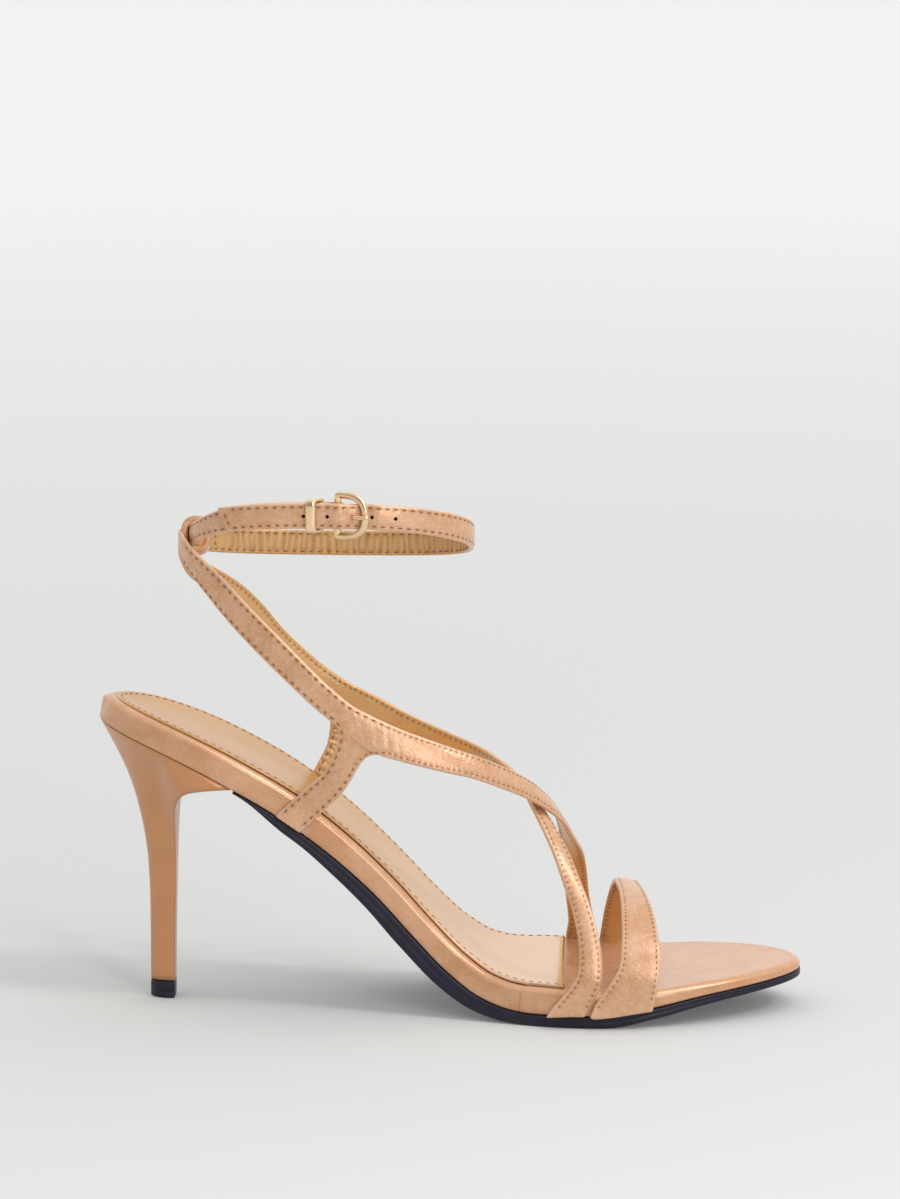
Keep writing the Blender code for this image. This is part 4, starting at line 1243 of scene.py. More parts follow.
def outward(points, tangents):
    """Directions away from the middle of the foot, square to the strap's run."""
    core = np.array([strap_place(row) for row in CORE])
    best = np.full(len(points), np.inf)
    near = np.zeros_like(points)
    for start, end in zip(core, core[1:]):
        run = end - start
        share = np.clip((points - start) @ run / (run @ run), 0.0, 1.0)
        foot = start + share[:, None] * run
        away = np.linalg.norm(points - foot, axis=1)
        closer = away < best
        best[closer] = away[closer]
        near[closer] = foot[closer]
    out = points - near
    out = out - (out * tangents).sum(axis=1, keepdims=True) * tangents
    return unit(out)


class Band:
    """A strap's middle line with its directions, widths and distance along."""

    def __init__(self, centre, across, out, half):
        self.centre = centre
        self.across = across
        self.out = out
        self.half = half
        self.along = run_along(centre)

    def point(self, u, v):
        """Points at u across and v outward from the middle line."""
        aside = self.across * np.asarray(u)[:, None]
        return self.centre + aside + self.out * np.asarray(v)[:, None]


def tail_row(last, before):
    """One more row in line with the last two, as wide as the last."""
    return np.append(2 * last[:3] - before[:3], last[3])


def table_band(table, width, head=False, step=0.6 * MM):
    """A strap's band, run on past its foot at the end, and at its head too where that has one."""
    rows = [np.append(strap_place(row), row["wide"]) for row in table]
    rows.append(tail_row(rows[-1], rows[-2]))
    if head:
        rows.insert(0, tail_row(rows[0], rows[1]))
    path = evenly(through(rows, 900), step)
    centre = path[:, :3]
    tangents = unit(np.gradient(centre, axis=0))
    out = outward(centre, tangents)
    for _ in range(round(2 * (TWIST_REACH / step) ** 2)):
        out[1:-1] = out[:-2] + 2 * out[1:-1] + out[2:]
        out = unit(out - (out * tangents).sum(axis=1, keepdims=True) * tangents)
    return Band(centre, np.cross(tangents, out), out, width * path[:, 3] / 2)


def profile(half, thick, crown):
    """One ring round a strap, as distances across and outward: crowned outside, round edges."""
    rim = min(sizes().edge_round, half * 0.4)
    flat = half - rim
    face = np.linspace(-1.0, 1.0, 15)
    turns = np.radians(np.linspace(90.0, -90.0, 8))[1:-1]
    outer_u = face * flat
    outer_v = thick / 2 + crown * (1 - face ** 2)
    right_u = flat + rim * np.cos(turns)
    right_v = thick / 2 * np.sin(turns)
    inner_u = face[::-1] * flat
    inner_v = np.full(len(face), -thick / 2)
    u = np.concatenate([outer_u, right_u, inner_u, -right_u])
    v = np.concatenate([outer_v, right_v, inner_v, -right_v])
    return u, v


def clear_of_wall(points, level):
    """Keeps a strap's foot outside the board's side wall."""
    side = np.where(points[:, 1] < 0, -1.0, 1.0)
    along = (points[:, 0] + HEEL_SET_BACK) / LENGTH
    for _ in range(4):
        foot = last_point(along, points[:, 1], 0.0)
        normal = last_point(along, points[:, 1], 1.0) - foot
        height = ((points - foot) * normal).sum(axis=1)
        along = along + (points - foot - normal * height[:, None])[:, 0] / LENGTH
    width = np.where(side < 0, half_width("lateral", along), half_width("medial", along))
    least = width + GAP + level * STRAP_THICK
    low = ease((wall(along) + CLEAR_ABOVE - height) / CLEAR_FADE)
    y = side * (np.abs(points[:, 1]) + low * np.maximum(least - np.abs(points[:, 1]), 0.0))
    moved = last_point(along, y, height)
    return np.where((low > 0)[:, None], moved, points)


def cut_at_foot(bm, along):
    """Cuts a strap off along the outsole's top edge."""
    foot = last_point(along, 0.0, STRAP_FOOT)
    down = foot - last_point(along, 0.0, STRAP_FOOT + 1.0)
    geometry = bm.verts[:] + bm.edges[:] + bm.faces[:]
    bmesh.ops.bisect_plane(bm, geom=geometry, dist=1e-6, plane_co=foot, plane_no=down,
                           clear_outer=True)
    return close_ends(bm)


def band_rings(band, on_wall=lambda share: False):
    """Rings of a strap; on_wall says for a share of its run whether it lies on the wall."""
    rings = []
    total = band.along[-1]
    for k, half in enumerate(band.half):
        nearest = min(band.along[k], total - band.along[k])
        round_off = 0.55 + 0.45 * ease(nearest / (0.9 * MM))
        u, v = profile(half, STRAP_THICK, sizes().crown)
        ring = (band.centre[k] + band.across[k] * u[:, None]
                + band.out[k] * (v * round_off)[:, None])
        if on_wall(band.along[k] / total):
            level = np.clip(v / STRAP_THICK + 0.5, 0.0, 1.1)
            ring = clear_of_wall(ring, level)
        rings.append(ring)
    return rings


def joined_leather(parts):
    """Several straps as one skin, with soft fillets where they meet."""
    bm = bmesh.new()
    for part in parts:
        mesh = mesh_from("part", part)
        bm.from_mesh(mesh)
        bpy.data.meshes.remove(mesh)
    helper = add_object("joined", mesh_from("joined", bm))
    remesh = helper.modifiers.new("skin", "REMESH")
    remesh.mode = "VOXEL"
    remesh.voxel_size = sizes().voxel
    skin = evaluated(helper)
    bpy.data.objects.remove(helper)
    bm = bmesh.new()
    bm.from_mesh(skin)
    bpy.data.meshes.remove(skin)
    for _ in range(3):
        bmesh.ops.smooth_vert(bm, verts=bm.verts, factor=0.5, use_axis_x=True,
                              use_axis_y=True, use_axis_z=True)
    return bm


def web_band(sling, branch, start, joint):
    """A short curved band from the branch into the sling ahead of the joint."""
    first = int(np.searchsorted(branch.along, WEB_REACH))
    last = int(np.searchsorted(sling.along, sling.along[start] + WEB_REACH))
    ends = branch.centre[first], joint, sling.centre[last]
    share = np.linspace(0.0, 1.0, 60)[:, None]
    curve = ((1 - share) ** 2 * ends[0] + 2 * share * (1 - share) * ends[1]
             + share ** 2 * ends[2])
    curve = evenly(curve, 0.5 * MM)
    share = np.linspace(0.0, 1.0, len(curve))
    tangents = unit(np.gradient(curve, axis=0))
    out = branch.out[first] + (sling.out[last] - branch.out[first]) * share[:, None]
    out = unit(out - (out * tangents).sum(axis=1, keepdims=True) * tangents)
    half = branch.half[first] + (sling.half[last] - branch.half[first]) * share
    return Band(curve, np.cross(tangents, out), out, half), first, last


def edge_row(band, side, first=0.0, last=1.0):
    """Points of a stitch row, a little in from one edge of a strap."""
    u = side * (band.half - sizes().stitch_inset)
    v = np.full(len(band.half), STRAP_THICK / 2)
    total = band.along[-1]
    row = band.point(u, v)
    height = row[:, 2] - underside((row[:, 0] + HEEL_SET_BACK) / LENGTH)
    kept = (band.along >= first * total) & (band.along <= last * total) & (height > SEAM_FOOT)
    return row[kept]


def run_on(first, second, reach=2.0 * MM):
    """One smooth row from two: cut where they pass closest, and rounded there.

    Returns the row and the distance along it of the cut."""
    apart = np.linalg.norm(first[:, None, :] - second[None, :, :], axis=2)
    stop, start = np.unravel_index(np.argmin(apart), apart.shape)
    step = 0.4 * MM
    before = evenly(first[:stop + 1], step)
    joined = evenly(np.vstack([before, second[start + 1:]]), step)
    for _ in range(round(2 * (reach / step) ** 2)):
        joined[1:-1] = (joined[:-2] + 2 * joined[1:-1] + joined[2:]) / 4
    return joined, len(before) * step


def trimmed(row, start, end):
    """The row without a length at each end."""
    run = run_along(row)
    kept = (run >= start) & (run <= run[-1] - end)
    return row[kept]


class Row:
    """A stitch row: its points, its pitch at both ends, and where along it that changes."""

    def __init__(self, points, first, last=None, change=0.0):
        step = 0.25 * MM
        self.points = evenly(np.asarray(points), step)
        last = first if last is None else last
        run = np.arange(len(self.points)) * step
        self.pitch = first + (last - first) * ease((run - change) / (5.0 * MM) + 0.5)
        phase = np.cumsum(step / self.pitch)
        self.count = max(round(phase[-1]), 1)
        self.phase = phase * self.count / phase[-1]


class Seam:
    """The stitch rows of one strap, on its outer face."""

    def __init__(self, rows):
        self.rows = rows

    def tree(self, bvh, thick):
        """Nearest-point tree of the rows on both faces of the strap."""
        samples = []
        for row in self.rows:
            for face in (0, 1):
                for point, turn in zip(row.points, row.phase):
                    samples.append((self.on_face(bvh, point, face, thick)[0], turn))
        return tree_of([point for point, _ in samples]), np.array([turn for _, turn in samples])

    @staticmethod
    def on_face(bvh, point, face, thick):
        """The point on the outer face, or straight through on the inner face."""
        place, normal, _, _ = bvh.find_nearest(Vector(point))
        if face == 0:
            return place, normal
        inner = bvh.ray_cast(place - normal * (0.25 * thick), -normal, 3 * thick)
        if inner[0] is None:
            return place, normal
        return inner[0], inner[1]


def stitch_marks(seam, bvh, thick, faces=(0, 1)):
    """One short thread for each stitch, bedded in the leather."""
    bm = bmesh.new()
    size = sizes()
    for row in seam.rows:
        for number in range(row.count):
            index = int(np.searchsorted(row.phase, number + 0.5))
            index = min(max(index, 1), len(row.points) - 2)
            run = Vector(unit(row.points[index + 1] - row.points[index - 1]))
            scale = row.pitch[index] / size.stitch_pitch
            long = size.stitch_length * scale
            wide = size.thread * scale
            for face in faces:
                place, normal = Seam.on_face(bvh, row.points[index], face, thick)
                side = normal.cross(run).normalized()
                ahead = side.cross(normal).normalized()
                turned = Matrix((ahead * long / 2, side * wide / 2,
                                 normal * wide * THREAD_FLAT)).transposed().to_4x4()
                turned.translation = place + normal * wide * THREAD_RISE
                bmesh.ops.create_uvsphere(bm, u_segments=6, v_segments=5, radius=1.0,
                                          matrix=turned @ Matrix.Rotation(math.pi / 2, 4, "Y"))
    return bm


def dress_strap(mesh, bands, seam, pleats, creases):
    """Pulls the leather in at the stitches, pleats the lining and stores the masks."""
    points = points_of(mesh)
    normals = values_of(mesh, "normal")
    bvh = faces_over(mesh, points)
    lining, edge, pleat, crease = strap_masks(points, bands, pleats, creases)
    tree, phases = seam.tree(bvh, STRAP_THICK)
    found = [tree.find(point) for point in points]
    distance = np.array([hit[2] for hit in found])
    phase = phases[[hit[1] for hit in found]]
    near = np.exp(-(distance / PULL_REACH) ** 2)
    pull = near * (0.5 - 0.5 * np.cos(2 * math.pi * phase))
    channel = np.exp(-(distance / CHANNEL_REACH) ** 2)
    depth = sizes().dimple * (PULL_SHARE * pull + CHANNEL_SHARE * channel)
    lift = sizes().pleat_depth * pleat + crease
    moved = points - normals * (depth + lift)[:, None]
    move_points(mesh, moved)
    for name, values in (("lining", lining), ("edge", edge), ("dimple", pull),
                         ("pleat", pleat)):
        set_values(mesh, name, values)
    return faces_over(mesh, moved)


def pleat_depth(band, along, side, start, stop):
    """Depth of the lining's uneven pleats between two shares of a strap's run."""
    total = band.along[-1]
    steps = along / MM
    zone = ease((along / total - start) * 40) * ease((stop - along / total) * 40)
    lean = 0.9 * np.sin(steps * 0.23) * side
    jitter = 1.3 * np.sin(steps * 0.41) + 0.8 * np.sin(steps * 1.13)
    turns = 2 * math.pi * along / sizes().pleat_pitch
    wave = 0.5 + 0.5 * np.cos(turns + jitter + lean)
    depth = 0.75 + 0.25 * np.sin(steps * 0.77 + 2.0 * side)
    body = ease((1 - np.abs(side)) / 0.25)
    return wave ** 1.3 * depth * zone * body


def crease_depth(row, band, index, u):
    """Depth of one soft crease at each point."""
    turn = math.radians(row["turn"])
    ahead = band.along[index] - row["along"] * band.along[-1]
    aside = u - row["across"] * band.half[index]
    down = ahead * math.cos(turn) + aside * math.sin(turn)
    over = aside * math.cos(turn) - ahead * math.sin(turn)
    return row["deep"] * np.exp(-(down / row["long"]) ** 2 - (over / row["wide"]) ** 2)


def strap_masks(points, bands, pleats, creases):
    """How far each point lies on the lining, at a true edge, in a pleat and in a crease."""
    lining, pleat, crease = (np.zeros(len(points)) for _ in range(3))
    nearest = np.full(len(points), np.inf)
    edge = np.ones(len(points))
    for number, band in enumerate(bands):
        tree = tree_of(band.centre)
        found = [tree.find(point) for point in points]
        index = np.array([hit[1] for hit in found])
        away = np.array([hit[2] for hit in found])
        offset = points - band.centre[index]
        u = (offset * band.across[index]).sum(axis=1)
        v = (offset * band.out[index]).sum(axis=1)
        run = np.cross(band.out[index], band.across[index])
        beyond = np.abs((offset * run).sum(axis=1)) > 1.0 * MM
        side = u / band.half[index]
        inside = (np.abs(side) < 1.03) & (np.abs(v) < 1.4 * MM) & ~beyond
        edge = np.minimum(edge, np.where(inside, ease((np.abs(side) - EDGE_START) / EDGE_FADE), 1.0))
        closer = away < nearest
        nearest = np.where(closer, away, nearest)
        mask = ease((-v / (STRAP_THICK / 2) - LINING_START) / LINING_FADE)
        lining = np.where(closer, mask, lining)
        for which, start, stop in pleats:
            if which == number:
                depth = pleat_depth(band, band.along[index], side, start, stop) * mask
                pleat = np.where(closer, np.maximum(depth, 0.0), pleat)
        for row in creases:
            if row["band"] == number:
                crease += crease_depth(row, band, index, u) * closer
    return lining, edge, pleat, crease


def finish_strap(name, bm, bands, seam, replaces, pleats=(), creases=()):
    """Adds a strap and its stitches."""
    piece = add_piece(name, bm, shared("strap_skin"), replaces)
    bvh = dress_strap(piece.data, bands, seam, pleats, creases)
    threads = stitch_marks(seam, bvh, STRAP_THICK)
    add_piece(name + "_stitches", threads, shared("dark_thread"))
    return piece


def footed_strap(band, on_wall, *tables):
    """A strap that lies on the wall where on_wall says so, cut off at its tables' feet."""
    bm = closed_tube(band_rings(band, on_wall))
    for row in tables:
        cut_at_foot(bm, row["along"])
    return bm


def make_sling(name, table, side_table, upper, rear_pitch, creases, pleats):
    """One sling with its side branch as joined leather; upper is the side of its top edge."""
    coarse = sizes().stitch_pitch
    fine = coarse * FINE_PITCH
    rear = coarse * rear_pitch
    sling = table_band(table, SLING_WIDTH)
    branch = table_band(side_table, BRANCH_WIDTH)
    lower = -upper
    start = int(np.linalg.norm(sling.centre - branch.centre[0], axis=1).argmin())
    web, first, last = web_band(sling, branch, start, sling.centre[start])
    parts = [footed_strap(sling, lambda share: share > 0.8, table[-1]),
             footed_strap(branch, lambda share: share > 0.5, side_table[-1]),
             closed_tube(band_rings(web))]
    joint = start / (len(sling.centre) - 1)
    top = edge_row(sling, upper, SEAM_START)
    behind, turn = run_on(edge_row(sling, lower, SEAM_START, joint), edge_row(branch, lower))
    ahead, bend = run_on(edge_row(branch, upper)[first:][::-1], edge_row(web, lower), SEAM_ROUND)
    ahead, _ = run_on(ahead, edge_row(sling, lower)[last:], SEAM_ROUND)
    seam = Seam([Row(trimmed(top, SEAM_END, SEAM_END), rear, fine, joint * sling.along[-1]),
                 Row(trimmed(behind, SEAM_END, SEAM_END), rear, coarse, turn),
                 Row(trimmed(ahead, SEAM_END, SEAM_END), coarse, fine, bend)])
    finish_strap(name, joined_leather(parts), [sling, branch, web], seam, ["sling_straps"],
                 pleats, creases)


def make_slings():
    for sling in SLINGS:
        make_sling(*sling)


def make_toe_band():
    band = table_band(TOE_BAND, TOE_BAND_WIDTH, head=True)
    bm = footed_strap(band, lambda share: share < 0.3 or share > 0.7, TOE_BAND[0], TOE_BAND[-1])
    pitch = sizes().stitch_pitch * FINE_PITCH
    rows = [Row(trimmed(edge_row(band, side), SEAM_END, SEAM_END), pitch) for side in (-1, 1)]
    finish_strap("toe_band_leather", bm, [band], Seam(rows), ["toe_band"],
                 creases=TOE_CREASES)


# Ankle strap, sleeve, buckle and keeper

def ankle_rear():
    """Where the ankle loop starts, just ahead of the place where the slings meet."""
    return strap_place(SLING_A[0])[0] + ANKLE_AHEAD


def ankle_height():
    """The ankle loop's middle height, just above the place where the slings meet."""
    return strap_place(SLING_A[0])[2] + ANKLE_ABOVE


def ankle_point(turn, inset=0.0):
    """A point of the ankle loop: turn 0 at the front, 90 at the inner side, 180 behind."""
    angle = math.radians(turn)
    power = 2 / ANKLE_ROUND
    long = ANKLE_LENGTH / 2
    wide = ANKLE_ACROSS / 2
    c = math.copysign(abs(math.cos(angle)) ** power, math.cos(angle))
    s = math.copysign(abs(math.sin(angle)) ** power, math.sin(angle))
    x = ankle_rear() + long + (long - inset) * c
    y = (wide - inset) * s
    z = ankle_height() - ANKLE_LEAN * s - ANKLE_SAG * (1 - s * s) - PINCH_DIP * pinch(turn)
    return np.array([x, y, z])


def pinch(turn):
    """How far the loop behind the heel pinches the strap there."""
    return float(ease(1 - abs(turn - PINCH_TURN) / PINCH_REACH))


def ankle_frame(turn, inset=0.0):
    """Centre, run, outward and upward directions of the ankle strap."""
    step = 0.5
    centre = ankle_point(turn, inset)
    run = unit(ankle_point(turn + step, inset) - ankle_point(turn - step, inset))
    flat = unit(np.array([centre[0] - ankle_rear() - ANKLE_LENGTH / 2, centre[1], 0.0]))
    up = unit(np.cross(run, flat))
    if up[2] < 0:
        up = -up
    out = np.cross(up, run)
    if np.dot(out, flat) < 0:
        out = -out
    return centre, run, out, up


def swell(distance):
    """One soft wave of the strap, 1 in its middle and 0 from WAVE away."""
    return 0.5 + 0.5 * math.cos(math.pi * min(abs(distance) / WAVE, 1.0))


def past_bar(turn):
    """Distance ahead of the buckle's bar, along the strap's near side."""
    centre, run, out, up = ankle_frame(BAR_TURN)
    return float(np.dot(ankle_point(turn) - centre, run))


def rail_reach():
    return BUCKLE_LENGTH - WIRE


def lap_inset(turn):
    """How far the strap lies inside the loop: it weaves through the buckle and laps itself."""
    if turn > 360.0:
        return (STRAP_THICK + LAYER_GAP) * ease((turn - LAP_START) / (LAP_END - LAP_START))
    distance = past_bar(turn)
    return DIP * swell(distance - rail_reach()) - BULGE * swell(distance)


def bar_depth():
    """How far the bar lies behind the middle of the ankle loop's outer layer."""
    return STRAP_THICK / 2 + GAP + FOLD_THICK + GAP + WIRE / 2 - BULGE


def rail_height():
    """How far the rail lies before the middle of the ankle loop's outer layer."""
    return STRAP_THICK / 2 + GAP + WIRE / 2 - DIP


def buckle_point(ahead, before, high=0.0):
    """A point at the buckle: ahead of the bar, before the strap's middle and up."""
    centre, run, out, up = ankle_frame(BAR_TURN)
    return centre + run * ahead + out * before + up * high


def turn_at(distance):
    """The turn that lies a distance ahead of the buckle's bar, along the strap."""
    turn = BAR_TURN
    for _ in range(8):
        turn += (distance - past_bar(turn)) / ANKLE_LENGTH * 110.0
    return turn


def ankle_band():
    """The ankle strap's middle line from its free tip to where it thins at the buckle."""
    last = 360.0 + BAR_TURN - THIN_BEFORE
    dense = np.linspace(TIP_TURN, last, 2600)
    places = np.array([ankle_point(turn, lap_inset(turn)) for turn in dense])
    run = run_along(places)
    at = np.linspace(0.0, run[-1], int(run[-1] / ANKLE_STEP))
    turns = np.interp(at, run, dense)
    frames = [ankle_frame(turn, lap_inset(turn)) for turn in turns]
    centre, _, out, up = (np.array([f[k] for f in frames]) for k in range(4))
    pinched = np.array([pinch(turn) for turn in turns])
    return Band(centre, up, out, ANKLE_WIDTH / 2 * (1 - PINCH_NARROW * pinched)), turns


def fold_rings(count):
    """The thin end of the strap, folded round the buckle's bar."""
    centre, run, out, up = ankle_frame(BAR_TURN)
    bar = buckle_point(0.0, -bar_depth())
    radius = WIRE / 2 + GAP + FOLD_THICK / 2
    u, v = profile(ANKLE_WIDTH / 2, FOLD_THICK, 0.0)
    rings = []
    for step in range(count):
        angle = math.radians(FOLD_START + FOLD_TURN * step / (count - 1))
        spoke = run * math.cos(angle) + out * math.sin(angle)
        middle = bar + spoke * radius
        rings.append(middle + up * u[:, None] - spoke * v[:, None])
    return rings


def slanted(rings, band, length):
    """Cuts the free tip at an angle, and lets the slant fade along the strap."""
    centre, run, out, up = ankle_frame(TIP_TURN)
    for k, ring in enumerate(rings):
        fade = 1 - ease(band.along[k] / length)
        if fade <= 0:
            break
        rise = (ring - band.centre[k]) @ up
        ring -= run * (TIP_SLANT * rise * fade)[:, None]
    return rings


def punched(piece):
    """Round dark holes along the strap's outer face."""
    cutters = bmesh.new()
    for number in range(-HOLES_EACH_SIDE, HOLES_EACH_SIDE + 1):
        if number == 0:
            continue
        turn = turn_at(PRONG_HOLE + number * HOLE_PITCH)
        centre, run, out, up = ankle_frame(turn, lap_inset(turn))
        turned = Vector(out).to_track_quat("Z", "Y").to_matrix().to_4x4()
        turned.translation = centre + out * (STRAP_THICK * HOLE_LIFT)
        bmesh.ops.create_cone(cutters, cap_ends=True, segments=20, radius1=HOLE_SHOWN / 2,
                              radius2=HOLE_SHOWN / 2, depth=STRAP_THICK, matrix=turned)
    pins = add_object("hole_pins", mesh_from("hole_pins", cutters))
    pins.data.materials.append(shared("hole_shade"))
    cut = piece.modifiers.new("holes", "BOOLEAN")
    cut.operation = "DIFFERENCE"
    cut.solver = "EXACT"
    cut.material_mode = "TRANSFER"
    cut.object = pins
    mesh = evaluated(piece)
    piece.modifiers.clear()
    piece.data = mesh
    bpy.data.objects.remove(pins)


def make_ankle_strap():
    """The ankle strap with its stitched edges, pleated elastic lining and punched holes."""
    band, turns = ankle_band()
    rings = slanted(band_rings(band), band, SLANT_FADE)
    rows = [trimmed(edge_row(band, side), *ANKLE_SEAM_ENDS) for side in (-1, 1)]
    rows.append(cross_row(band, 2.0 * MM, 0))
    rows.append(cross_row(band, 0.0, int(np.searchsorted(turns, PLEATS_END + 1.0))))
    seam = Seam([Row(row, sizes().stitch_pitch) for row in rows])
    start, stop = np.interp((PLEATS_START, PLEATS_END), turns, band.along) / band.along[-1]
    bm = closed_tube(rings + fold_rings(22)[2:])
    piece = finish_strap("ankle_strap_leather", bm, [band], seam, ["ankle_strap"],
                         ((0, start, stop),))
    punched(piece)


def cross_row(band, ahead, index):
    """A stitch row across the strap, slanted as its free tip is where it starts there."""
    run = unit(band.centre[index + 1] - band.centre[index])
    reach = np.linspace(-1.0, 1.0, 9) * (band.half[index] - 1.9 * MM)
    slant = TIP_SLANT if index == 0 else 0.0
    points = [band.centre[index] + band.across[index] * u + band.out[index] * STRAP_THICK / 2
              + run * (ahead - slant * u) for u in reach]
    return np.array(points)


def sleeve_rings(turns, inset, high, deep, soft):
    """Rings of a flat tube round the ankle strap."""
    rings = []
    for turn in turns:
        centre, run, out, up = ankle_frame(turn, inset)
        angles = np.linspace(0.0, 2 * math.pi, 40, endpoint=False)
        c = np.sign(np.cos(angles)) * np.abs(np.cos(angles)) ** (2 / soft)
        s = np.sign(np.sin(angles)) * np.abs(np.sin(angles)) ** (2 / soft)
        rings.append(centre + up * (c * high)[:, None] + out * (s * deep)[:, None])
    return rings


def turns_between(middle, length, count):
    """Turns that share out a length of the ankle strap round a middle turn."""
    step = 0.5
    rate = np.linalg.norm(ankle_point(middle + step) - ankle_point(middle - step)) / (2 * step)
    half = length / 2 / rate
    return [middle - half + 2 * half * k / (count - 1) for k in range(count)]


def make_sleeve():
    """The leather sleeve behind the heel that the ankle strap runs through."""
    turns = turns_between(REAR_TURN, SLEEVE_LENGTH, 26)
    inset = lap_inset(REAR_TURN) + LOOP_AHEAD
    high = ANKLE_WIDTH / 2 - LOOP_LOW
    outer = sleeve_rings(turns, inset, high + LOOP_WALL, LOOP_DEPTH + LOOP_WALL, 2.4)
    inner = sleeve_rings(turns, inset, high, LOOP_DEPTH, 2.7)
    lip = [outer[0] * 0.5 + inner[0] * 0.5, outer[-1] * 0.5 + inner[-1] * 0.5]
    rings = [inner[0], lip[0]] + outer + [lip[1], inner[-1]] + inner[::-1]
    bm = closed_tube(rings)
    piece = add_piece("rear_loop_leather", bm, shared("strap_skin"), ["sling_straps"])
    set_values(piece.data, "edge", np.zeros(len(piece.data.vertices)))


def make_keeper():
    """The metal keeper round both layers of the ankle strap, behind the buckle."""
    layers = 2 * STRAP_THICK + LAYER_GAP
    middle = turn_at(-KEEPER_SET_BACK)
    turns = turns_between(middle, KEEPER_WIDE, 6)
    inset = (STRAP_THICK + LAYER_GAP) / 2
    high = ANKLE_WIDTH / 2 + GAP
    deep = layers / 2 + GAP
    grow = KEEPER_WALL
    outer = sleeve_rings(turns, inset, high + grow, deep + grow, 6.0)
    eased = sleeve_rings([turns[0], turns[-1]], inset, high + 0.5 * grow, deep + 0.5 * grow, 6.0)
    inner = sleeve_rings(turns, inset, high, deep, 7.0)
    outer[0] = outer[0] * 0.75 + inner[0] * 0.25
    outer[-1] = outer[-1] * 0.75 + inner[-1] * 0.25
    rings = [inner[0], eased[0]] + outer + [eased[1], inner[-1]] + inner[::-1]
    centre, run, out, _ = ankle_frame(middle)
    rings = [ring - run * (KEEPER_SKEW * ((ring - centre) @ out))[:, None] for ring in rings]
    bm = closed_tube(rings)
    add_piece("keeper_band", bm, shared("pale_gold_plate"), ["strap_keeper"])


def wire_rings(path, tangents, radii, sides, flatten=1.0):
    """Rings of a wire along a path; flatten below 1 makes it wider than deep."""
    _, _, out, _ = ankle_frame(BAR_TURN)
    angles = np.linspace(0.0, 2 * math.pi, sides, endpoint=False)
    rings = []
    for point, tangent, radius in zip(path, tangents, radii):
        front = unit(out - tangent * np.dot(out, tangent))
        side = np.cross(tangent, front)
        rings.append(point + side * (np.cos(angles) * radius)[:, None]
                     + front * (np.sin(angles) * radius * flatten)[:, None])
    return rings


def make_buckle():
    """The horseshoe frame with its hidden bar, and the prong through the strap."""
    half = BUCKLE_HEIGHT / 2 - WIRE / 2
    low = -bar_depth()
    rise = rail_height() - low
    path = [buckle_point(0.0, low, half * share) for share in np.linspace(-1.0, 1.0, 12)]
    for step in range(1, 72):
        angle = math.radians(90.0 - 180.0 * step / 72)
        bend = math.copysign(abs(math.sin(angle)) ** BUCKLE_ROUND, math.sin(angle))
        ahead = BUCKLE_NECK + (1 - BUCKLE_NECK) * abs(math.cos(angle)) ** BUCKLE_ROUND
        path.append(buckle_point(rail_reach() * ahead, low + rise * ahead, half * bend))
    path = softened(even_ring(np.array(path), 150), 4)
    tangents = unit(np.roll(path, -1, axis=0) - np.roll(path, 1, axis=0))
    rings = wire_rings(path, tangents, [FRAME_WIDE / 2] * len(path), 18, WIRE / FRAME_WIDE)
    add_piece("buckle_frame_wire", closed_tube(rings + rings[:1]), shared("pale_gold_plate"),
              ["buckle_frame"])
    make_prong()


def make_prong():
    """The prong, which tapers from the bar to a rounded point."""
    reach = rail_reach()
    depth = bar_depth()
    rest = rail_height() + WIRE / 2 + GAP + PRONG / 2
    points = [
        buckle_point(WIRE / 2 + GAP, -depth),
        buckle_point(0.30 * reach, -0.72 * depth),
        buckle_point(0.46 * reach, 0.05 * rest),
        buckle_point(0.64 * reach, 0.74 * rest),
        buckle_point(0.84 * reach, 0.98 * rest),
        buckle_point(reach + 0.7 * WIRE, rest),
    ]
    line = through(points, 60)
    share = np.linspace(0.0, 1.0, len(line))
    blunt = np.maximum(share - PRONG_BLUNT, 0.0) / (1.0 - PRONG_BLUNT)
    radii = PRONG_SHOWN / 2 * (1.0 - PRONG_TAPER * share) * np.sqrt(1 - blunt ** 2)
    rings = wire_rings(line, unit(np.gradient(line, axis=0)), radii, 16)
    add_piece("buckle_prong_wire", closed_tube(rings), shared("pale_gold_plate"),
              ["buckle_prong"])


def make_sock_stitches():
    """The thread round the sock lining, bedded in its top."""
    sock = bpy.data.objects["sock_sheet"]
    bvh = faces_over(sock.data, points_of(sock.data))
    inset = SOCK_INSET + SOCK_SEAM
    angles = np.linspace(0.0, angle_of(SOCK_END_SHARE - 0.004), 260)
    sides = [outline_points(side, angles, inset) for side in ("lateral", "medial")]
    loop = np.vstack([sides[0][::-1], sides[1][1:]])
    along = loop[:, 0] / LENGTH
    row = last_point(along, loop[:, 1], seat(along, loop[:, 1]) + GAP + SOCK_THICK)
    seam = Seam([Row(row, sizes().stitch_pitch)])
    threads = stitch_marks(seam, bvh, SOCK_THICK, faces=(0,))
    add_piece("sock_stitches", threads, shared("dark_thread"))


# Stage

def floor_material():
    """A pale floor, toned down near the shoe where the lights fall."""
    made, tree, shader = base_material("pale_floor", 0.7)
    shader["Specular IOR Level"].default_value = 0.0
    tone = bpy.context.scene.sandal_stage.floor
    away = add_node(tree, "ShaderNodeVectorMath", operation="LENGTH")
    tree.links.new(own_place(tree), away.inputs[0])
    far = maths(tree, "MULTIPLY", away.outputs["Value"], 1 / FLOOR_REACH, clamp=True)
    near = [value * FLOOR_NEAR for value in tone]
    base = blend_colour(tree, far, near, tone)
    tree.links.new(base, shader["Base Color"])
    shader["Emission Color"].default_value = (*tone, 1.0)
    shader["Emission Strength"].default_value = FLOOR_GLOW
    return made


